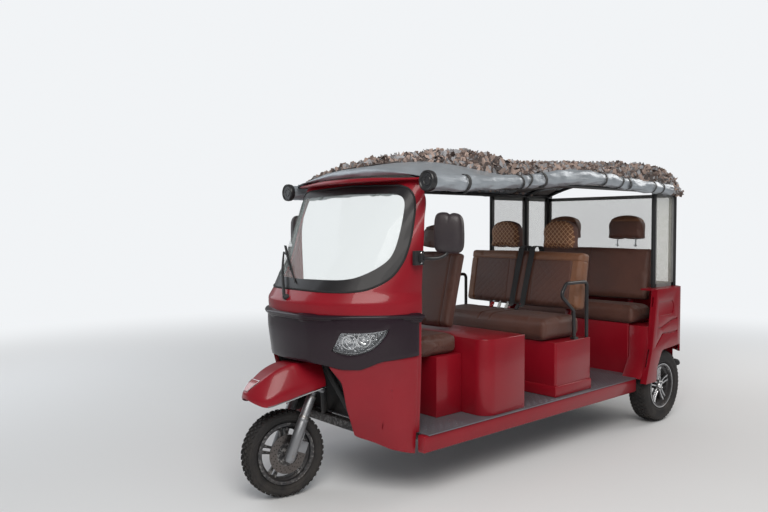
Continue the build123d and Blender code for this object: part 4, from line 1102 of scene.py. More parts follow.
# ahead, height, radius
rollRows = [(2.50, 1.699, 0.048), (2.35, 1.700, 0.046), (2.20, 1.699, 0.045), (2.05, 1.708, 0.041),
            (1.75, 1.722, 0.040), (1.62, 1.732, 0.043), (1.47, 1.749, 0.046), (1.32, 1.765, 0.048),
            (1.12, 1.775, 0.050), (0.95, 1.777, 0.046), (0.79, 1.771, 0.042), (0.55, 1.756, 0.041),
            (0.29, 1.744, 0.042), (0.04, 1.737, 0.038), (-0.13, 1.734, 0.037)]


def roofRise(ahead):
    # the bows flatten towards the cab
    return roof["rise"] - 0.060 * max(0.0, (ahead - 1.95) / 0.47) ** 2


def frontDroop(x, ahead):
    # the sheet's front corners hang a little
    return 0.022 * eased((abs(x) - 0.22) / 0.33) * eased((ahead - 2.24) / 0.16)


def arcHeight(x, ahead):
    half, rise = roof["half"], roofRise(ahead)
    radius = (half * half + rise * rise) / (2 * rise)
    return math.sqrt(max(radius * radius - x * x, 0)) - (radius - rise)


def frameFall(point):
    share = roofRise(axleY - point.y) / roof["rise"]
    if point.z < roof["low"] - 0.002:
        return point
    return Vector((point.x, point.y, roof["low"] + (point.z - roof["low"]) * share
                   - frontDroop(point.x, axleY - point.y)))


def canopySheet():
    across, along = 60, 110
    bm = bmesh.new()
    grid = []
    for j in range(along + 1):
        ahead = roof["front"] + (roof["back"] - roof["front"]) * j / along
        row = []
        for i in range(across + 1):
            x = roof["half"] * (2 * i / across - 1)
            z = roof["low"] + roof["thick"] - 0.001 + arcHeight(x, ahead)
            edge = max(0.0, 1 - abs(roof["front"] - ahead) / 0.08)
            fold = noise.noise(Vector((x * 3.0, ahead * 9.0, 1.3))) * 0.0035
            fold += noise.noise(Vector((x * 11.0, ahead * 5.0, 4.1))) * 0.002
            bow = min(abs(ahead - b) for b in roof["bows"])
            swell = 0.010 * math.exp(-((ahead - 2.02) / 0.16) ** 2)
            z += fold - 0.004 * min(bow / 0.25, 1.0) + edge * 0.002 - frontDroop(x, ahead) + swell
            row.append(bm.verts.new(at(x, ahead, z)))
        grid.append(row)
    top = [vertex.co.copy() for vertex in grid[0]]
    for step in range(1, 9):  # apron
        row = []
        for i, point in enumerate(top):
            x = point.x * (1 - 0.02 * step / 8)
            foot = 1.7335 + 0.024 * max(0.0, 1 - (x / 0.59) ** 2)
            t = step / 8
            bulge = 0.012 * math.sin(math.pi * t) + 0.004 * noise.noise(Vector((x * 9.0, t * 2.0, 2.2)))
            row.append(bm.verts.new((x, point.y - bulge - 0.004 * t,
                                     point.z + (min(foot, point.z - 0.002) - point.z) * t)))
        grid.insert(0, row)
    bridge(bm, grid, closed=False, turned=True)
    bmesh.ops.recalc_face_normals(bm, faces=bm.faces)
    bm.faces.ensure_lookup_table()
    if bm.faces[len(bm.faces) // 2].normal.z < 0:
        bmesh.ops.reverse_faces(bm, faces=bm.faces)
    mesh = withModifiers(meshFrom(bm, "canopy"), "canopy", thickened(0.003, -1.0))
    canopy = makeObject("canopySheet", mesh, "tarp", "vehicle", ["roof_canopy"], 70)


def netHeap():
    # lumpy surface of the gathered net; flakes are strewn over it
    across, rows = 72, 150
    half = roof["half"] - 0.004
    base = roof["low"] + roof["thick"] + 0.001
    heaps = [(2.381, 0.016), (2.130, 0.030), (1.950, 0.048), (1.840, 0.056), (1.750, 0.086), (1.660, 0.076),
             (1.520, 0.040), (1.350, 0.032), (1.180, 0.040), (0.840, 0.060), (0.500, 0.072), (0.210, 0.084),
             (0.050, 0.082), (-0.060, 0.094), (-0.200, 0.122), (-0.326, 0.098)]

    def roofTop(x, ahead):
        eave, slope = 0.575, 0.75
        return base + arcHeight(min(abs(x), roof["half"]), ahead) - slope * max(0.0, abs(x) - eave)

    def lift(x, ahead, inside):
        lump = noise.fractal(Vector((x * 5.5, ahead * 5.5, 2.0)), 0.9, 2.2, 4) * 0.022
        big = noise.noise(Vector((x * 1.9, ahead * 1.6, 7.0))) * 0.018
        lump += noise.noise(Vector((x * 12.0, ahead * 12.0, 5.0))) * 0.018
        return max(0.003, (tableValue(heaps, ahead, 1) - 0.012 + lump * 0.5 + big * 0.5)
                   * eased(inside / 0.15) ** 0.6 + 0.002)

    bm = bmesh.new()
    grid = []
    for j in range(rows + 1):
        ahead = roof["netFront"] + (roof["netBack"] - roof["netFront"]) * j / rows
        edgeWave = 0.03 * noise.noise(Vector((ahead * 3.0, 0.3, 9.0)))
        corner = eased((0.06 - ahead) / 0.16)  # at the back the net hangs over the roof's corners
        far = -half + 0.02 * (1 - corner) + edgeWave * (1 - corner) - 0.055 * corner
        near = half - 0.020 * (1 - corner) - 0.58 * eased((ahead - 1.58) / 0.88)
        near += edgeWave * (1 - corner) + 0.055 * corner
        row = []
        for i in range(across + 1):
            x = far + (near - far) * i / across
            inside = min(x - far, near - x)
            top = roofTop(x, ahead) - frontDroop(x, ahead) + lift(x, ahead, inside)
            row.append(bm.verts.new(at(x, ahead, top)))
        grid.append(row)
    bridge(bm, grid, closed=False)
    border = [grid[0][i] for i in range(across + 1)] + [grid[j][across] for j in range(1, rows + 1)]
    border += [grid[rows][i] for i in range(across - 1, -1, -1)] + [grid[j][0] for j in range(
        rows - 1, 0, -1)]
    lower = []
    for vertex in border:
        foot = roofTop(vertex.co.x, axleY - vertex.co.y)
        lower.append(bm.verts.new((vertex.co.x, vertex.co.y, foot)))
    count = len(border)
    for k in range(count):
        bm.faces.new((border[k], lower[k], lower[(k + 1) % count], border[(k + 1) % count]))
    bottom = bm.faces.new(lower)
    bmesh.ops.triangulate(bm, faces=[bottom])
    heap = painted(bm, "netHeap", "net")
    flake = bmesh.new()  # a small curled leaf of scrim
    leaf = [(-0.021, -0.007, 0.004), (0.0, -0.014, -0.001), (0.022, -0.006, 0.007), (0.024, 0.008, 0.011),
            (0.002, 0.015, 0.0), (-0.022, 0.009, 0.009)]
    made = [flake.verts.new(p) for p in leaf]
    mid = flake.verts.new((0.0, 0.0, 0.010))
    for k in range(6):
        flake.faces.new((made[k], made[(k + 1) % 6], mid))
    leafMesh = meshFrom(flake, "flake")
    upper = bpy.data.meshes.new("heapTop")
    top = bmesh.new()
    top.from_mesh(heap)
    bmesh.ops.delete(top, geom=[f for f in top.faces if f.normal.z < -0.2], context="FACES")
    top.to_mesh(upper)
    top.free()
    layers = [heap]
    # tan and grey flakes are the scrim's colours; the dark brown ones are painted shade between them
    for finish, seed, spacing, density in (("scrimTan", 5, 0.024, 2000.0), ("scrimGrey", 8, 0.030, 1300.0),
                                           ("scrimBrown", 21, 0.034, 1100.0)):
        strewn = runNodes(strewnCopies, "strewn" + finish, base=upper.copy(), piece=leafMesh.copy(),
                          Spacing=spacing, Density=density, Seed=seed, Smallest=0.55, Largest=1.5,
                          Finish=finishes[finish])
        layers.append(strewn)
    net = joined("netHeapMesh", layers)
    makeObject("roofNet", net, None, "vehicle", ["roof_net"], 180)


def tableValue(rows, ahead, column):
    # value in a table whose first column falls
    for high, low in zip(rows, rows[1:]):
        if low[0] <= ahead:
            share = eased((high[0] - ahead) / (high[0] - low[0]))
            return high[column] + (low[column] - high[column]) * share
    return rows[-1][column]


def rollRadius(ahead):
    # swelling between the straps, pinched under each
    gap = min(abs(ahead - s) for s in rollShape["straps"])
    return tableValue(rollRows, ahead, 2) - 0.006 * math.exp(-(gap / 0.026) ** 2) + 0.002 * noise.noise(
        Vector((ahead * 4.0, 0.0, 3.0)))


def rollHeight(ahead, side=1):
    # the far roll sits a little lower over the cab
    return tableValue(rollRows, ahead, 1) - (0.012 * eased((ahead - 1.8) / 0.6) if side < 0 else 0.0)


def rollStraps(side, word):
    straps = bmesh.new()
    for index, ahead in enumerate(rollShape["straps"]):
        wide = 0.016 if index % 3 else 0.022
        slant = 0.018 * math.sin(index * 2.3)
        loops = []
        for k in range(30):
            a = 2 * math.pi * k / 30
            r = rollRadius(ahead) + 0.0055
            lean = slant * math.sin(a)
            for edge, lift in ((-wide, 0.0), (-wide, 0.0022), (wide, 0.0022), (wide, 0.0)):
                loops.append(straps.verts.new(at(side * (rollShape["x"] + (r + lift) * math.cos(a)),
                                                 ahead + edge / 2 + lean, rollHeight(ahead, side)
                                                 + (r + lift) * math.sin(a))))
        for k in range(30):
            for q in range(4):
                a, b = 4 * k + q, 4 * k + (q + 1) % 4
                c, d = 4 * ((k + 1) % 30) + (q + 1) % 4, 4 * ((k + 1) % 30) + q
                straps.faces.new((loops[a], loops[b], loops[c], loops[d]))
    makeObject("rollStraps" + word, painted(straps, "rollStraps", "belt"), None, "vehicle", ())


def rollCap(side, word, front):
    cap = bmesh.new()  # stiff ring and plug at the front end
    spot = at(side * rollShape["x"], front - 0.014, rollHeight(front, side))
    turn = Matrix.Translation(spot) @ turnBy(-90, "Z")
    profile = [(-0.016, 0.0475), (-0.016, 0.0535), (0.000, 0.0555), (0.014, 0.0535), (0.017, 0.0490),
               (0.013, 0.0430), (0.010, 0.0410), (0.010, 0.0280), (0.013, 0.0260), (0.013, 0.0200),
               (0.010, 0.0180), (0.010, 0.0)]
    latheMesh(cap, profile, 48, turn, closed=False)
    makeObject("rollCap" + word, painted(cap, "rollCap", "tube"), None, "vehicle", (), 50)


def curtainRolls():
    turnSteps = ((0.86, 0.004), (0.80, 0.0), (0.66, 0.005), (0.60, 0.001), (0.46, 0.006), (0.40, 0.002),
                 (0.2, 0.006))
    for side, word in ((1, "Left"), (-1, "Right")):
        bm = bmesh.new()
        rings = []
        steps, around = 260, 36
        front = rollShape["front"] - (0.028 if side < 0 else 0.0)
        for j in range(steps + 1):
            ahead = front - 0.012 + (rollShape["back"] - front + 0.024) * j / steps
            radius, z = rollRadius(ahead), rollHeight(ahead, side)
            ring = []
            for k in range(around):
                a = 2 * math.pi * k / around
                crease = noise.fractal(Vector((ahead * 7.0 + side * 3, math.cos(a) * 1.6,
                                               math.sin(a) * 1.6)), 1.0, 2.0, 4) * 0.0075
                twist = 0.0022 * math.sin(3 * a + ahead * 22.0)
                sag = 1.06 if math.sin(a) < 0 else 0.97
                r = min(radius + crease + twist, 0.0535)
                ring.append(bm.verts.new(at(side * (rollShape["x"] + r * math.cos(a)), ahead,
                                            z + r * sag * math.sin(a) * 0.97)))
            rings.append(ring)
        bridge(bm, rings)
        for ring, ahead in ((rings[0], front - 0.012), (rings[-1], rollShape["back"] + 0.012)):
            # wound ends: steps inward like the edges of the turns
            previous = ring
            for shrink, dip in turnSteps:
                centre = Vector((side * rollShape["x"], axleY - ahead, rollHeight(ahead, side)))
                inward = 1 if ahead > 1 else -1
                step = []
                for vertex in ring:
                    p = centre + (vertex.co - centre) * shrink
                    p.y = axleY - ahead + inward * dip
                    step.append(bm.verts.new(p))
                for k in range(around):
                    bm.faces.new((previous[k], previous[(k + 1) % around], step[(k + 1) % around], step[k]))
                previous = step
            bm.faces.new(previous)
        roll = makeObject("curtainRoll" + word, painted(bm, "curtainRoll", "tarp"), None, "vehicle",
                          ["curtain_rolls"], 60)
        rollStraps(side, word)
        rollCap(side, word, front)


def clearSheet(name, a, b, low, high, normal):
    # clear plastic from a to b (x, ahead), bellied and creased, with a sewn hem
    across, up = 46, 40
    bm = bmesh.new()
    grid = []
    a, b = Vector(a), Vector(b)
    for j in range(up + 1):
        z = low + (high - low) * j / up
        row = []
        for i in range(across + 1):
            spot = a.lerp(b, i / across)
            held = min(i, across - i, j * 1.3, (up - j) * 1.3) / 12
            wave = noise.fractal(Vector((spot.x * 6 + z, spot.y * 6, z * 5)), 0.8, 2.1,
                                 3) * 0.010 * min(held, 1)
            push = Vector(normal) * wave
            row.append(bm.verts.new(at(spot.x + push.x, spot.y, z) + Vector((0, push.y, 0))))
        grid.append(row)
    bridge(bm, grid, closed=False)
    mesh = meshFrom(bm, name)
    mesh = withModifiers(mesh, name, thickened(0.0012, 0.0))
    piece = makeObject(name, mesh, "vinyl", "vehicle", ["clear_curtains"], 70)
    hem = bmesh.new()
    half = 0.014
    for p, q, z0, z1 in ((a, b, low, low + 2 * half), (a, b, high - 2 * half, high),
                         (a, a.lerp(b, 2 * half / (b - a).length), low, high),
                         (b.lerp(a, 2 * half / (b - a).length), b, low, high)):
        thick = Vector(normal) * 0.0026
        corners = []
        for spot, z in ((p, z0), (q, z0), (q, z1), (p, z1)):
            base = at(spot.x, spot.y, z)
            corners.append((hem.verts.new(base + thick), hem.verts.new(base - thick)))
        front = [c[0] for c in corners]
        back = [c[1] for c in corners]
        hem.faces.new(front)
        hem.faces.new(list(reversed(back)))
        for k in range(4):
            hem.faces.new((front[k], back[k], back[(k + 1) % 4], front[(k + 1) % 4]))
    hemPiece = makeObject(name + "Hem", painted(hem, name + "Hem", "hem"), None, "vehicle", ())


def clearSheets():
    top, low = 1.709, 1.0
    clearSheet("rearWindowSheet", (-0.574, -0.277), (0.574, -0.277), low, top, (0, 1, 0))
    for side, word in ((1, "Left"), (-1, "Right")):
        clearSheet("quarterSheet" + word, (side * 0.59, -0.261), (side * 0.59, 0.024), low, top, (1, 0, 0))
    clearSheet("farSheet", (-0.59, 0.056), (-0.59, 0.488), low, top, (1, 0, 0))


canopySheet()
netHeap()
curtainRolls()
clearSheets()
print("roof ready")


# Cab skin above the ledge: drawn on the cab's own sections, with its front corners eased back

cabRows = [(0.235, 2.790, 0.475, 0.565, 0.300), (0.500, 2.885, 0.500, 0.570, 0.330),
           (0.760, 2.945, 0.515, 0.575, 0.350), (1.065, 2.950, 0.515, 0.575, 0.350),
           (1.115, 2.905, 0.510, 0.575, 0.325), (1.715, 2.460, 0.590, 0.610, 0.120)]
# windscreen outline and the inner edge of its black border:
# place round the cab (0 middle, 1 to 2 corner), height
screenEdge = [(0, 1.124), (1.0, 1.122), (1.313, 1.121), (1.5, 1.124), (1.66, 1.136), (1.795, 1.165),
              (1.90, 1.206), (1.954, 1.259), (1.972, 1.312), (1.948, 1.389), (1.885, 1.466), (1.788, 1.544),
              (1.675, 1.598), (1.532, 1.637), (1.322, 1.667), (1.004, 1.685), (0.70, 1.692), (0, 1.700)]
borderEdge = [(0, 1.178), (0.553, 1.180), (1.19, 1.182), (1.381, 1.189), (1.472, 1.200), (1.566, 1.221),
              (1.660, 1.250), (1.733, 1.284), (1.759, 1.320), (1.746, 1.374), (1.685, 1.451),
              (1.598, 1.521), (1.483, 1.583), (1.34, 1.618), (1.14, 1.635), (0.856, 1.643), (0.5, 1.646),
              (0, 1.650)]


def rowPoint(row, u):
    z, front, halfFront, halfBack, radius = row
    run = Vector((halfFront - halfBack, front - 2.2)).normalized()
    turn = math.acos(-run.x)
    reach = radius * math.tan(turn / 2)
    low, high = Vector((halfFront, front)) - run * reach, Vector((halfFront - reach, front))
    if u <= 1:
        return Vector((high.x * u, front))
    if u <= 2:
        a = math.atan2(low.x - high.x, low.y - front + radius) * (u - 1)
        return Vector((high.x + radius * math.sin(a), front - radius + radius * math.cos(a)))
    return low.lerp(Vector((halfBack, 2.2)), u - 2)


def cabFront(z):
    for low, high in zip(cabRows, cabRows[1:]):
        if z <= high[0]:
            return low[1] + (high[1] - low[1]) * max(0.0, (z - low[0]) / (high[0] - low[0]))
    return cabRows[-1][1]


def easedBack(x, ahead, z):
    # the cab's front corners drawn in towards the middle and back
    high = eased((z - 1.15) / 0.55)
    start = 2.445 - 0.085 * high
    end = max(cabFront(z) - 0.085, start + 0.03)
    amount = (0.100 - 0.04 * high + 0.018 * eased((0.93 - z) / 0.2)) * eased((ahead - start) / (end - start))
    hold = eased(abs(x) / 0.40)
    # the cap sits low on the screen
    drop = (0.010 + 0.010 * eased((abs(x) - 0.25) / 0.3)) * eased((z - 1.716) / 0.02)
    return x - math.copysign(0.751 * amount * hold,
                             x), ahead - 0.66 * amount * (0.62 + 0.38 * hold), z - drop


def cabPoint(u, z):
    z = min(max(z, 0.2351), 1.7149)
    low, high = next(pair for pair in zip(cabRows, cabRows[1:]) if z <= pair[1][0])
    place = rowPoint(low, abs(u)).lerp(rowPoint(high, abs(u)), (z - low[0]) / (high[0] - low[0]))
    x, ahead, z = easedBack(math.copysign(place.x, u), place.y, z)
    return at(x, ahead, z)


def edgeLoop(edge, steps=6):
    # closed loop (u, z) from the bottom middle round the left side, over the top and down the right
    line = smoothPath([Vector((u, z, 0)) for u, z in edge], steps)
    half = [(p.x, p.y) for p in line]
    return half + [(-u, z) for u, z in reversed(half[1:-1])]


def backEdge(z):
    # how far round the cab its skin ends, at the pillar's front face
    low, high = 1.0, 3.0
    for step in range(24):
        middle = (low + high) / 2
        rows = next(pair for pair in zip(cabRows, cabRows[1:]) if z <= pair[1][0] or pair[1] is cabRows[-1])
        ahead = rowPoint(rows[0], middle).lerp(rowPoint(rows[1], middle),
                                               (z - rows[0][0]) / (rows[1][0] - rows[0][0])).y
        if ahead > 2.421:
            low = middle
        else:
            high = middle
    return low


def cabSkin(outer):
    # red skin from the screen's edge out to the ledge, the cap and the pillars
    count = len(outer)
    ends = {round(z, 3): backEdge(z) for z in [1.0 + 0.001 * k for k in range(716)]}

    def limit(z):
        return ends[round(min(max(z, 1.0), 1.714), 3)]

    low, middle, high = 1.002, 1.40, 1.712
    rim = []
    for u, z in outer:
        across = u / limit(z)
        upward = (high - middle) if z > middle else (middle - low)
        scale = 1 / max(abs(across), abs(z - middle) / (0.355 if z > middle else upward), 1e-6)
        rise = (z - middle) / upward * scale
        rim.append([max(-1.0, min(1.0, across * scale)), middle + max(-1.0, min(1.0, rise)) * upward])
    for cornerU, cornerZ in ((1, low), (1, high), (-1, high), (-1, low)):
        nearest = min(range(count), key=lambda k: (rim[k][0] - cornerU) ** 2
                      + ((rim[k][1] - cornerZ) / 0.7) ** 2)
        rim[nearest] = [cornerU, cornerZ]
    bm = bmesh.new()
    rings = []
    steps = 14
    for step in range(steps + 1):
        t = (step / steps) ** 1.15
        ring = []
        for (u, z), (across, z1) in zip(outer, rim):
            mid = z + (z1 - z) * t
            start = u / limit(z)
            ring.append(bm.verts.new(cabPoint((start + (across - start) * t) * limit(mid), mid)))
        rings.append(ring)
    bridge(bm, rings)
    bmesh.ops.recalc_face_normals(bm, faces=bm.faces)
    bm.faces.ensure_lookup_table()
    bm.normal_update()
    if max(bm.faces, key=lambda f: -f.calc_center_median().y).normal.y > 0:
        bmesh.ops.reverse_faces(bm, faces=bm.faces)
    skin = withModifiers(meshFrom(bm, "cabSkin"), "cabSkin", thickened(0.016, -1.0),
                         softEdges(0.003, 3, 50))
    makeObject("cabSurroundPiece", skin, "crimson", "vehicle", ["cab_surround"], 40)


def screenPieces(outer, inner):
    # black border, pane and seal, on the cab's own curve
    border = bmesh.new()
    rows = []
    for step in range(5):
        t = step / 4
        rows.append([border.verts.new(cabPoint(a[0] + (b[0] - a[0]) * t, a[1] + (b[1] - a[1]) * t)) for a,
                     b in zip(outer, inner)])
    bridge(border, rows, turned=True)
    frit = withModifiers(meshFrom(border, "frit"), "frit", thickened(0.003, 0.0))
    makeObject("screenBorder", frit, "frit", "vehicle", ["windscreen_frame"], 60)

    pane = bmesh.new()
    rings = []
    for step in range(9):
        t = step / 9
        rings.append([pane.verts.new(cabPoint(a[0] * (1 - t), a[1] + (1.41 - a[1]) * t)) for a in inner])
    centre = pane.verts.new(cabPoint(0.0, 1.41))
    bridge(pane, rings, turned=True)
    last = rings[-1]
    for k in range(len(last)):
        pane.faces.new((last[k], centre, last[(k + 1) % len(last)]))
    glass = withModifiers(meshFrom(pane, "pane"), "pane", thickened(0.004, 0.0))
    makeObject("windscreenPane", glass, "glass", "vehicle", ["windscreen_glass"], 60)

    seal = bmesh.new()
    tubeMesh(seal, [cabPoint(u, z) for u, z in outer], 0.0058, 8, closed=True)
    makeObject("screenSeal", painted(seal, "screenSeal", "rubber"), None, "vehicle", (), 60)


def easedPiece(node, finish, bevel):
    # a cab node's own shape, with the same easing of the front corners
    longest = 0.035
    bm = bmesh.new()
    bm.from_mesh(welded(node, bevel))
    bmesh.ops.triangulate(bm, faces=[f for f in bm.faces if len(f.verts) > 4])
    for step in range(5):
        long = [e for e in bm.edges if e.calc_length() > longest
                and axleY - min(v.co.y for v in e.verts) > 2.36]
        if not long:
            break
        bmesh.ops.subdivide_edges(bm, edges=long, cuts=1)
        bmesh.ops.triangulate(bm, faces=[f for f in bm.faces if len(f.verts) > 4])
    makeObject(node + "Piece", easedMesh(meshFrom(bm, node)), finish, "vehicle", (node,), 34)


def easedMesh(mesh):
    for vertex in mesh.vertices:
        x, ahead, z = easedBack(vertex.co.x, axleY - vertex.co.y, vertex.co.z)
        vertex.co = at(x, ahead, z)
    return mesh


def cabPieces():
    outer, inner = edgeLoop(screenEdge), edgeLoop(borderEdge)
    cabSkin(outer)
    screenPieces(outer, inner)
    for node, finish, bevel in (("cab_cowl", "crimson", 0.003), ("cab_front_panel", "panel", 0.002),
                                ("headlamp_bowls", "lampGrey", 0.001), ("headlamp_lenses", "lens", 0.002),
                                ("wheel_arch_liner", "plastic", 0.002), ("roof_cap", "crimson", 0.010),
                                ("dashboard", "plastic", 0.004), ("pillar_strips", "crimson", 0.003)):
        easedPiece(node, finish, bevel)


cabPieces()
print("cab skin ready")


# Cab fittings

cab = {"ledge": 0.985, "cornerX": 0.165, "cornerAhead": 2.595, "corner": 0.350, "halfBack": 0.575,
       "back": 2.446, "lampHeading": 60}
mirrors = {"centre": (0.700, 2.368, 1.430), "turn": 30, "half": (0.079, 0.106), "depth": 0.052}
wiper = {"pivot": (-0.010, 2.905, 1.083), "elbow": (-0.345, 2.695, 1.312), "low": (-0.012, 2.842, 1.160),
         "high": (-0.385, 2.652, 1.349)}


def cabPlan(reach, steps=16):
    # the cab's outline in plan at the ledge, from its left back edge round the front to its right back edge
    points = [(cab["halfBack"] - 0.005 + reach, cab["back"])]
    for step in range(steps + 1):
        a = math.radians(86) * (1 - step / steps)
        points.append((cab["cornerX"] + (cab["corner"] + reach) * math.sin(a),
                       cab["cornerAhead"] + (cab["corner"] + reach) * math.cos(a)))
    return points + [(-x, ahead) for x, ahead in reversed(points)]


def ledgePiece():
    # stepped ledge: its section runs from the red skin over three ridges and back to the panel
    section = [(-0.010, 1.009), (0.004, 1.009), (0.010, 1.004), (0.026, 1.004), (0.033, 1.001),
               (0.0375, 0.996), (0.0375, 0.992), (0.0345, 0.990), (0.0345, 0.986), (0.0300, 0.983),
               (0.0240, 0.982), (0.0240, 0.976), (0.0195, 0.972), (0.0120, 0.971), (0.0120, 0.964),
               (0.0090, 0.960), (0.0, 0.957), (-0.010, 0.957)]
    bm = bmesh.new()
    rings = []
    plans = [cabPlan(reach, 40) for reach, z in section]
    for k in range(len(plans[0])):
        rings.append([bm.verts.new(at(plan[k][0], plan[k][1], z)) for plan,
                      (reach, z) in zip(plans, section)])
    bridge(bm, rings)
    bm.faces.new(rings[0])
    bm.faces.new(list(reversed(rings[-1])))
    mesh = withModifiers(easedMesh(meshFrom(bm, "ledge", True)), "ledge",
                         softEdges(0.0014, 2, 25))
    makeObject("ledgePiece", mesh, "panel", "vehicle", ["ledge_trim"], 45)


def lampPoint(u, z, r):
    a = math.radians(cab["lampHeading"]) + u / cab["corner"]
    return at(cab["cornerX"] + r * math.sin(a), cab["cornerAhead"] + r * math.cos(a), z)


def lampPlace(u, z, r):
    # local X points out of the lamp, local Z up
    out = (lampPoint(u, z, r + 0.1) - lampPoint(u, z, r)).normalized()
    side = Vector((0, 0, 1)).cross(out).normalized()
    turn = Matrix((out, side, out.cross(side))).transposed().to_4x4()
    return Matrix.Translation(lampPoint(u, z, r)) @ turn


def headlampParts():
    dish = [(0.028, 0.040), (0.014, 0.034), (0.003, 0.024), (-0.004, 0.012), (-0.005, 0.0), (-0.008, 0.0),
            (-0.007, 0.013), (0.000, 0.027), (0.012, 0.038), (0.028, 0.043)]
    pitch, ridge, valley = 0.0295, 0.316, 0.296  # facets: width, radius at their edges and in their folds
    for side, word in ((1, "Left"), (-1, "Right")):
        flip = Matrix.Scale(side, 4, (1, 0, 0))
        metal, dark = bmesh.new(), bmesh.new()
        for u, z, scale in ((-0.062, 0.857, 0.92), (0.018, 0.868, 0.86), (0.078, 0.888, 0.52)):
            place = flip @ lampPlace(u, z, 0.303) @ Matrix.Scale(scale, 4)
            latheMesh(metal, dish, 32, place)
            latheMesh(metal, [(-0.004, 0.0), (0.016, 0.0), (0.020, 0.004), (0.020, 0.008), (-0.004, 0.009)],
                      16, place)
        for index in range(9):  # upright facets between the dishes
            u = -0.125 + index * pitch
            low = 0.806 + max(u, 0) * 0.42
            high = 0.905 + max(u, 0) * 0.10
            if u < -0.095:
                low, high = 0.815, 0.80 + 0.10 * (u + 0.14) / 0.045
            corners = ((u, low, ridge), (u, high, ridge), (u + 0.017, high, valley),
                       (u + 0.017, low, valley), (u + pitch, high, ridge), (u + pitch, low, ridge))
            made = [metal.verts.new(flip @ lampPoint(*corner)) for corner in corners]
            metal.faces.new((made[0], made[1], made[2], made[3]))
            metal.faces.new((made[3], made[2], made[4], made[5]))
        for k in range(5):  # brow that hides the reflector's upper edge
            u0, u1 = -0.1 + k * 0.05, -0.05 + k * 0.05
            z0, z1 = 0.908 + max(u0, 0) * 0.13, 0.908 + max(u1, 0) * 0.13
            made = [dark.verts.new(flip @ p) for p in (lampPoint(u0, z0, 0.338), lampPoint(u1, z1, 0.338),
                                                       lampPoint(u1, z1 - 0.004, 0.300),
                                                       lampPoint(u0, z0 - 0.004, 0.300))]
            dark.faces.new(made)
        shade = withModifiers(painted(dark, "lampBrow", "plastic", False), "lampBrow", thickened(0.002, 0))
        reflectors = joined("lampReflectors", [painted(metal, "lampMetal", "chrome"), shade])
        makeObject("lampReflectors" + word, easedMesh(reflectors), (),
                   "vehicle", (), 25)
        rim = bmesh.new()
        outline = [(-0.151, 0.817), (-0.106, 0.912), (-0.05, 0.913), (0.01, 0.913), (0.08, 0.921),
                   (0.151, 0.930), (0.12, 0.878), (0.078, 0.838), (0.02, 0.810), (-0.048, 0.794),
                   (-0.108, 0.800)]
        angles = [(math.asin(u / cab["corner"]) * cab["corner"], z) for u, z in outline]
        tubeMesh(rim, [flip @ lampPoint(u, z, cab["corner"] + 0.003) for u, z in angles], 0.0042, 8,
                 closed=True)
        makeObject("lampSeal" + word, easedMesh(painted(rim, "lampSeal", "rubber")), None, "vehicle", ())
        crease = bmesh.new()
        line = [(0.208, 0.940), (0.207, 0.900), (0.196, 0.860), (0.172, 0.822), (0.130, 0.792),
                (0.080, 0.772), (0.020, 0.762)]
        tubeMesh(crease, smoothPath([flip @ lampPoint(u, z, cab["corner"] + 0.0002) for u, z in line], 6),
                 lambda t: 0.0046 * math.sin(math.pi * min(max(t, 0.02), 0.98)) ** 0.5, 10)
        makeObject("panelCrease" + word, easedMesh(painted(crease, "panelCrease", "panel")), None,
                   "vehicle", ())


def mirrorPieces():
    across, high = mirrors["half"]
    for side, word in ((1, "Left"), (-1, "Right")):
        turn = turnBy(mirrors["turn"], "Z")
        place = Matrix.Scale(side, 4, (1, 0, 0)) @ Matrix.Translation(at(*mirrors["centre"])) @ turn
        bm = bmesh.new()
        rings = []
        around = 72
        layers = ((0.0275, 0.955), (0.0275, 1.0), (0.018, 1.012), (0.004, 1.0), (-0.010, 0.955),
                  (-0.020, 0.86), (-0.0265, 0.68), (-0.0285, 0.4))
        for y, scale in ((0.022, 0.90),) + layers:
            ring = []
            for k in range(around):
                a = 2 * math.pi * k / around
                c, s = math.cos(a), math.sin(a)
                reach = (abs(c) ** 4.6 + abs(s) ** 4.6) ** (-1 / 4.6)
                x, z = reach * c * across, reach * s * high
                # dip between the two lobes of the shell
                z -= 0.009 * math.exp(-((x - 0.004) / 0.010) ** 2) if s > 0 else 0
                z -= 0.006 * (x / across) if s > 0 else 0
                ring.append(bm.verts.new(place @ Vector((x * scale * (1 - 0.05 * max(s, 0)), y, z * scale))))
            rings.append(ring)
        bridge(bm, rings)
        bm.faces.new(rings[0])
        bm.faces.new(list(reversed(rings[-1])))
        shell = painted(bm, "mirrorShell", "mirrorShell")
        arm = bmesh.new()
        flip = Matrix.Scale(side, 4, (1, 0, 0))
        line = smoothPath([flip @ at(*p) for p in ((0.588, 2.468, 1.300), (0.632, 2.455, 1.300),
                                                   (0.672, 2.420, 1.301), (0.692, 2.380, 1.318),
                                                   (0.697, 2.370, 1.345))], 5)
        tubeMesh(arm, line, 0.009, 14)
        clamp = bmesh.new()
        boxMesh(clamp, (0.566, axleY - 2.500, 1.262), (0.592, axleY - 2.436, 1.338))
        boxMesh(clamp, (0.588, axleY - 2.482, 1.281), (0.616, axleY - 2.454, 1.319))
        block = withModifiers(meshFrom(clamp, "mirrorClamp", True), "mirrorClamp", softEdges(0.003, 2))
        block.transform(flip)
        if side < 0:
            block.flip_normals()
        repaint(block, "plastic")
        bolts = bmesh.new()
        for z in (1.274, 1.326):
            latheMesh(bolts, [(0.0, 0.0), (0.0, 0.0065), (0.005, 0.0065), (0.0065, 0.005), (0.0065, 0.0)], 6,
                      flip @ Matrix.Translation(at(0.592, 2.462, z)))
        fittings = joined("mirrorFittings", [shell, painted(arm, "mirrorArm", "tube"), block,
                                             painted(bolts, "mirrorBolts", "chrome")])
        makeObject("mirrorHousing" + word, fittings, None, "vehicle", ["mirror_housings"],
                   40)


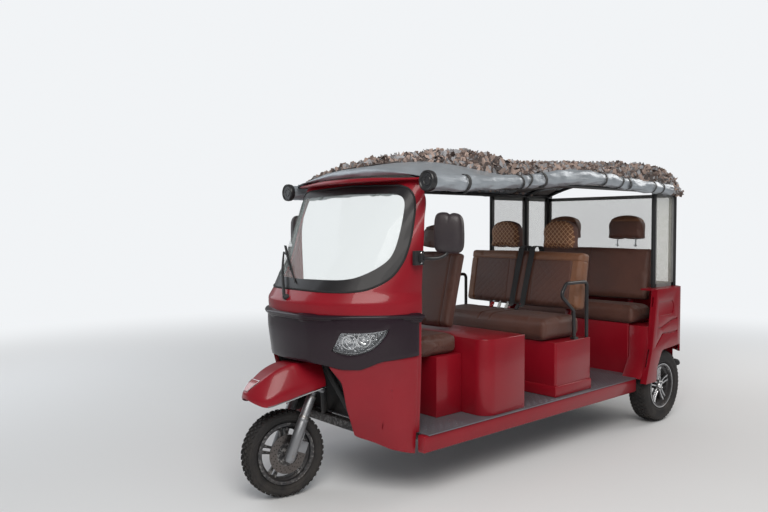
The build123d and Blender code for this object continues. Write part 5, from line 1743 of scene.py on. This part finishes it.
def wiperPiece():
    bm = bmesh.new()
    pivot, elbow, low, high = (at(*wiper[k]) for k in ("pivot", "elbow", "low", "high"))
    latheMesh(bm, [(-0.012, 0.0), (-0.012, 0.016), (0.010, 0.014), (0.016, 0.009), (0.016, 0.0)], 24,
              Matrix.Translation(pivot) @ turnBy(-90, "Z"))
    bend = pivot.lerp(elbow, 0.55) + Vector((0, -0.014, 0.004))
    tubeMesh(bm, smoothPath([pivot + Vector((0, -0.010, 0)), bend, elbow], 8), lambda t: 0.0095 - 0.0045
             * t, 10)
    middle = low.lerp(high, 0.72)
    for share in (0.1, 0.36, 0.72, 0.94):  # claws
        foot = low.lerp(high, share)
        tubeMesh(bm, [middle.lerp(foot, 0.35) + Vector((0, -0.014, 0.006)),
                      foot + Vector((0, -0.002, 0.001))], 0.0035, 8)
    tubeMesh(bm, [low, high], 0.0042, 8)
    tubeMesh(bm, [low.lerp(high, 0.3) + Vector((0, -0.012, 0.006)),
                  low.lerp(high, 0.98) + Vector((0, -0.010, 0.005))], 0.0045, 8)
    tubeMesh(bm, [elbow, middle + Vector((0, -0.012, 0.006))], 0.006, 10)
    makeObject("wiperAssembly", painted(bm, "wiper", "plastic"), None, "vehicle", ["wiper"],
               50)


def cabInside():
    # instrument pod with a dial, and the switches beside it
    bm = bmesh.new()
    tilt = Matrix.Translation(at(0, 2.606, 1.064)) @ turnBy(58, "X")
    boxMesh(bm, (-0.105, -0.036, -0.008), (0.105, 0.036, 0.010), tilt)
    pod = withModifiers(meshFrom(bm, "pod", True), "pod", softEdges(0.007, 3))
    repaint(pod, "plastic")
    screenFace = bmesh.new()
    boxMesh(screenFace, (-0.078, -0.024, 0.0085), (0.078, 0.024, 0.0115), tilt)
    knobs = bmesh.new()
    for x in (-0.26, -0.21, 0.21, 0.26):
        latheMesh(knobs, [(0, 0.0), (0, 0.012), (0.010, 0.011), (0.014, 0.007), (0.014, 0.0)], 20,
                  Matrix.Translation(at(x, 2.612, 0.985)) @ turnBy(90, "Z"))
    pieces = joined("instrumentPod", [pod, painted(screenFace, "podFace", "frit"),
                                      painted(knobs, "knobs", "rubber")])
    makeObject("instrumentPod", easedMesh(pieces), None, "vehicle", ())


ledgePiece()
headlampParts()
mirrorPieces()
wiperPiece()
cabInside()
print("cab ready")


# Steered parts, laid out straight ahead and then turned to the parked angle

rowToParked = Matrix.Translation(steerFoot) @ parkedTurn.to_4x4() @ Matrix.Translation(-steerFoot)
# fender sections: ahead, top, rim, half width, ridge half width
fenderRows = [(3.147, 0.582, 0.554, 0.030, 0.014), (3.136, 0.594, 0.541, 0.066, 0.028),
              (3.118, 0.612, 0.529, 0.099, 0.043), (3.098, 0.628, 0.518, 0.124, 0.053),
              (3.075, 0.643, 0.512, 0.140, 0.060), (3.040, 0.667, 0.517, 0.145, 0.069),
              (3.000, 0.692, 0.526, 0.147, 0.076), (2.950, 0.710, 0.535, 0.148, 0.082),
              (2.905, 0.722, 0.545, 0.148, 0.086), (2.820, 0.724, 0.562, 0.147, 0.087),
              (2.731, 0.718, 0.580, 0.145, 0.088)]


def fenderSection(top, rim, half, ridge):
    shoulder = rim + 0.36 * (top - rim)
    key = [(half, rim), (half, (rim + shoulder) / 2), (half - 0.001, shoulder - 0.006),
           (half - 0.008, shoulder + 0.010), ((half + ridge) / 2, (top + shoulder) / 2 + 0.004),
           (ridge + 0.006, top - 0.004), (ridge - 0.006, top + 0.0005), (ridge * 0.5, top), (0, top)]
    right = [(-x, z) for x, z in reversed(key[:-1])]
    return key + right


def fenderPiece():
    bm = bmesh.new()
    rings = []
    for ahead, top, rim, half, ridge in fenderRows:
        rings.append([bm.verts.new(at(x, ahead, z)) for x, z in fenderSection(top, rim, half, ridge)])
    bridge(bm, rings, closed=False)
    bm.faces.new(rings[0])
    bmesh.ops.recalc_face_normals(bm, faces=bm.faces)
    top = max(bm.faces, key=lambda face: face.calc_center_median().z)
    if top.normal.z < 0:
        bmesh.ops.reverse_faces(bm, faces=bm.faces)
    mesh = meshFrom(bm, "fender")
    mesh = withModifiers(mesh, "fender",
                         ("SOLIDIFY", {"thickness": 0.005, "offset": -1.0, "use_even_offset": True}),
                         softEdges(0.0012, 2, 60), ("SUBSURF", {"levels": 2, "render_levels": 2}))
    mesh.transform(rowToParked)
    makeObject("frontFender", mesh, "crimson", "steering", ["front_fender"], 60)
    trim = bmesh.new()
    for side in (1, -1):
        edge = [rowToParked @ at(side * (half + 0.002), ahead, rim + 0.0035) for ahead, top, rim, half,
                ridge in fenderRows[4:]]
        tubeMesh(trim, smoothPath(edge, 4), 0.0055, 8)
    makeObject("fenderStrip", painted(trim, "fenderStrip", "chrome"), None, "steering", ())
    badge = bmesh.new()  # small red reflector let into the beak
    rows = fenderRows[1:5]
    widths = (0.024, 0.036, 0.045, 0.050)
    grid = []
    for width, (ahead, top, rim, half, ridge) in zip(widths, rows):
        grid.append([badge.verts.new(rowToParked @ at(x * width, ahead + 0.0016, top + 0.0016))
                     for x in (-1, -0.5, 0, 0.5, 1)])
    bridge(badge, grid, closed=False)
    flat = withModifiers(painted(badge, "beakReflector", "tailRed"), "beakReflector", thickened(0.0022, 0))
    border = bmesh.new()
    spots = [(width, row[0] + 0.002, row[1] + 0.002) for width, row in zip(widths, rows)]
    line = [rowToParked @ at(-x, ahead, z) for x, ahead, z in spots]
    line += [rowToParked @ at(x, ahead, z) for x, ahead, z in reversed(spots)]
    tubeMesh(border, line, 0.0016, 6, closed=True)
    makeObject("beakReflector", joined("beakReflector", [flat, painted(border, "reflectorEdge", "chrome")]),
               None, "steering")


def forkPieces():
    # sliders with their sleeves, yokes and axle nuts; z runs up the steering axis
    spread, offset = 0.094, -0.030
    bm = bmesh.new()
    dark = bmesh.new()
    upright = turnBy(-90, "Y")  # lathe axis X to local Z
    for side in (-1, 1):
        place = steerPlace @ Matrix.Translation((side * spread, offset, 0)) @ upright
        slider = [(-0.037, 0.0), (-0.037, 0.018), (-0.025, 0.0265), (-0.020, 0.029), (0.185, 0.029),
                  (0.190, 0.0275), (0.196, 0.029), (0.205, 0.029), (0.208, 0.0265), (0.215, 0.0258),
                  (0.328, 0.0258), (0.332, 0.0235), (0.335, 0.020), (0.380, 0.020), (0.380, 0.0)]
        latheMesh(bm, slider, 40, place)
        latheMesh(dark, [(0.207, 0.0262), (0.207, 0.0275), (0.216, 0.0275), (0.219, 0.0262)], 40, place)
        latheMesh(dark, [(0.322, 0.0262), (0.322, 0.0272), (0.330, 0.0272), (0.330, 0.0262)], 40, place)
        lug = bmesh.new()
        boxMesh(lug, (side * spread - 0.013, offset - 0.024, -0.036),
                (side * spread + 0.013, offset + 0.024, 0.014))
        boxMesh(lug, (side * spread - 0.009, offset + 0.018, 0.055),
                (side * spread + 0.009, offset + 0.036, 0.140))
        lugMesh = withModifiers(meshFrom(lug, "lug", True), "lug", softEdges(0.004, 2))
        bm.from_mesh(lugMesh)
        for vertex in bm.verts[-len(lugMesh.vertices):]:
            vertex.co = steerPlace @ vertex.co
        nut = [(0.0, 0.0), (0.0, 0.014), (0.010, 0.014), (0.012, 0.012), (0.012, 0.007), (0.018, 0.007),
               (0.018, 0.0)]
        latheMesh(dark, nut, 6, steerPlace @ Matrix.Translation((side * (spread + 0.013), offset, 0))
                  @ Matrix.Rotation(0 if side > 0 else math.pi, 4, "Z"))
    yoke = bmesh.new()
    boxMesh(yoke, (-spread - 0.028, -0.057, 0.365), (spread + 0.028, 0.027, 0.395))
    yokeMesh = withModifiers(meshFrom(yoke, "yoke", True), "yoke", softEdges(0.012, 3))
    yokeMesh.transform(steerPlace)
    repaint(yokeMesh, "castGrey")
    stem = bmesh.new()
    latheMesh(stem, [(0.380, 0.0), (0.380, 0.020), (0.612, 0.020), (0.612, 0.0)], 32, steerPlace @ upright)
    latheMesh(stem, [(-0.094, 0.0), (-0.094, 0.009), (0.094, 0.009), (0.094, 0.0)], 24,
              steerPlace @ Matrix.Translation((0, offset, 0)))
    makeObject("frontFork", joined("frontFork", [painted(bm, "forkLegs", "castGrey"),
                                                 painted(dark, "forkRings", "steel"), yokeMesh,
                                                 painted(stem, "forkStem", "frameBlack")]), None,
               "steering", ["fork"], 40)


def handlebarPieces():
    bm, soft = bmesh.new(), bmesh.new()
    line = [(-0.330, 0.150, 0.940), (-0.260, 0.102, 0.930), (-0.200, 0.060, 0.920), (-0.145, 0.028, 0.896),
            (-0.090, 0.002, 0.881), (0, 0, 0.880)]
    line += [(-x, y, z) for x, y, z in reversed(line[:-1])]
    tubeMesh(bm, smoothPath([steerPlace @ Vector(p) for p in line], 4), 0.011, 16)
    latheMesh(bm, [(0.610, 0.0), (0.610, 0.018), (0.874, 0.018), (0.880, 0.024), (0.896, 0.024),
                   (0.900, 0.015), (0.900, 0.0)], 28, steerPlace @ turnBy(-90, "Y"))
    for side in (-1, 1):
        a, b = steerPlace @ Vector((side * 0.330, 0.150, 0.940)), steerPlace @ Vector(
            (side * 0.222, 0.0755, 0.9235))
        path = [a.lerp(b, t) for t in (0.0, 0.03, 0.06)] + [a.lerp(b, 0.1 + 0.045 * k) for k in range(20)]
        tubeMesh(soft, path, lambda t: 0.0155 + (0.0022 if int(t * 44) % 2 else 0.0) if t > 0.08
                 else 0.0185, 18)
        lever = [steerPlace @ Vector(p) for p in ((side * 0.205, 0.058, 0.925),
                                                  (side * 0.225, 0.045, 0.925), (side * 0.27, 0.068, 0.930),
                                                  (side * 0.325, 0.110, 0.938))]
        tubeMesh(bm, smoothPath(lever, 5), 0.0055, 8)
        switch = bmesh.new()
        boxMesh(switch, (-0.020, -0.017, -0.017), (0.020, 0.017, 0.017))
        box = withModifiers(meshFrom(switch, "switch", True), "switch", softEdges(0.005, 2))
        boxPlace = Matrix.Translation((side * 0.205, 0.063, 0.921)) @ turnBy(side * 35, "Z")
        box.transform(steerPlace @ boxPlace)
        soft.from_mesh(box)
    makeObject("handlebarAssembly", joined("handlebar",
                                           [painted(bm, "bars", "tube"), painted(soft, "grips", "rubber")]),
               (), "steering", ["handlebar"], 45)


fenderPiece()
forkPieces()
handlebarPieces()
print("steered parts ready")


# Floor's chequer pattern

def chequerFloor():
    bar = bmesh.new()
    for sign in (1, -1):
        turn = turnBy(45 * sign, "Z")
        shift = Matrix.Translation((0.0062 * sign, 0.0062, 0))
        outline = [(-0.0105, 0), (-0.005, -0.0022), (0.005, -0.0022), (0.0105, 0), (0.005, 0.0022),
                   (-0.005, 0.0022)]
        foot = [bar.verts.new(shift @ turn @ Vector((x, y, 0))) for x, y in outline]
        crest = [bar.verts.new(shift @ turn @ Vector((x, 0, 0.0014))) for x in (-0.006, 0.006)]
        for a, b, c in ((0, 1, 0), (5, 0, 0), (2, 3, 1), (3, 4, 1)):
            bar.faces.new((foot[a], foot[b], crest[c]))
        bar.faces.new((foot[1], foot[2], crest[1], crest[0]))
        bar.faces.new((foot[4], foot[5], crest[0], crest[1]))
    pattern = meshFrom(bar, "chequerBar")
    parts = []
    for width, length, centre in ((1.17, 0.30, at(0, 2.263, 0.3601)), (1.17, 0.325, at(0, 1.408, 0.3601)),
                                  (1.17, 0.50, at(0, 0.562, 0.3601))):
        across, along = round(width / 0.028), round(length / 0.028)
        mesh = runNodes(gridOfCopies, "chequer", piece=pattern.copy(), Across=across, Along=along,
                        Width=width, Length=length, Centre=centre, Finish=finishes["floor"])
        parts.append(mesh)
    makeObject("chequerBars", joined("chequerBars", parts), None, "vehicle", (), 30)


def benchPlinth():
    # stepped foot of the middle bench
    low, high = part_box("middle_bench_base")
    foot = [v.co for v in nodes["middle_bench_base"].data.vertices if v.co.z < low[2] + 0.02]
    bm = bmesh.new()
    reach = 0.007
    boxMesh(bm, (low[0] - reach, min(p.y for p in foot) - reach, low[2] + 0.001),
            (high[0] + reach, max(p.y for p in foot) + reach, low[2] + 0.072))
    step = withModifiers(meshFrom(bm, "plinth", True), "plinth", softEdges(0.005, 3))
    makeObject("benchPlinth", step, "crimson", "vehicle", ())


chequerFloor()
benchPlinth()
print("floor pattern ready")


# Rigid pieces that keep their CAD shape

plainPieces = {
    "frame_rails": ("frameBlack", 0.003), "cross_members": ("frameBlack", 0.003), "head_braces": (
        "frameBlack", 0.001),
    "side_sills": ("crimson", 0.006), "mirror_glasses": ("mirrorFace", 0),
    "roof_frame": ("tube", 0), "pillars": ("tube", 0), "floor_plate": ("floor", 0.001),
    "driver_seat_base": ("crimson", 0.004), "bulkhead_box": ("crimson", 0.004), "middle_bench_base": (
        "crimson", 0.004),
    "rear_bench_base": ("crimson", 0.004), "battery_pack": ("battery", 0.004), "grab_rails": ("tube", 0),
    "body_sides": ("crimson", 0.003), "wheel_wells": ("crimson", 0.002), "tail_panel": ("crimson", 0.002),
    "tail_lamps": ("tailRed", 0.002), "rear_bumper": ("tube", 0), "rear_axle": ("frameBlack", 0.001),
    "leaf_springs": ("frameBlack", 0.001), "brake_caliper": ("castGrey", 0.003),
}


def sillToCowl(point):
    # the sill's front end runs on to the cowl
    if axleY - point.y < 2.38:
        return point
    return Vector((point.x - math.copysign(0.008, point.x), point.y - 0.030, point.z))


moved = {"side_sills": sillToCowl, "roof_frame": frameFall}
bodyOf = {node: body for body, members in frame["record"]["behaviour"]["bodies"].items() for node in members}
for node, (finish, bevel) in plainPieces.items():
    if bevel or node in moved:
        mesh = welded(node, bevel, moved.get(node))
        makeObject(node + "Piece", mesh, finish, bodyOf[node], replaced=(node,), smooth=32)
    else:
        repaint(nodes[node].data, finish)
print("rigid pieces ready")


# Floor and world

def makeStudio():
    mesh = bpy.data.meshes.new("studioFloor")
    mesh.from_pydata([(-40, -40, 0), (40, -40, 0), (40, 40, 0), (-40, 40, 0)], [], [(0, 1, 2, 3)])
    floor = bpy.data.objects.new("studioFloor", mesh)
    linkObject(floor)
    material, tree, shader, coords = startMaterial("studioFloor")
    shader.inputs["Base Color"].default_value = (*studio["floorColour"], 1)
    shader.inputs["Roughness"].default_value = 0.75
    shader.inputs["Specular IOR Level"].default_value = 0.2
    far = addNode(tree, "ShaderNodeVectorMath", {"operation": "LENGTH"},
                  i0=coords["Object"]).outputs["Value"]
    glow = addNode(tree, "ShaderNodeEmission", None, Color=(*studio["backColour"], 1),
                   Strength=studio["backLight"]).outputs[0]
    fade = addNode(tree, "ShaderNodeMapRange", {"interpolation_type": "SMOOTHSTEP"}, Value=far, i1=2.6,
                   i2=8.5).outputs[0]
    rays = tree.nodes.new("ShaderNodeLightPath").outputs
    seen = mathNode(tree, "MAXIMUM", rays["Is Camera Ray"], rays["Is Transmission Ray"])
    blend = addNode(tree, "ShaderNodeMixShader", None, i0=mathNode(tree, "MULTIPLY", fade, seen),
                    i1=shader.outputs[0], i2=glow).outputs[0]
    tree.links.new(blend, next(n for n in tree.nodes if n.type == "OUTPUT_MATERIAL").inputs[0])
    mesh.materials.append(material)
    world = bpy.data.worlds.new("studioWorld")
    world.use_nodes = True
    tree = world.node_tree
    tree.nodes.clear()
    rays = tree.nodes.new("ShaderNodeLightPath").outputs
    shown = mathNode(tree, "MAXIMUM", rays["Is Camera Ray"], rays["Is Transmission Ray"])
    plain = rampNode(tree, rays["Is Glossy Ray"], 0.0, 1.0, studio["worldLight"], studio["mirrored"])
    strength = mathNode(tree, "ADD", mathNode(tree, "MULTIPLY", shown, studio["backLight"]),
                        mathNode(tree, "MULTIPLY", mathNode(tree, "SUBTRACT", 1.0, shown), plain))
    background = addNode(tree, "ShaderNodeBackground", None, Color=(*studio["backColour"], 1),
                         Strength=strength)
    tree.links.new(background.outputs[0], tree.nodes.new("ShaderNodeOutputWorld").inputs[0])
    bpy.context.scene.world = world


makeStudio()
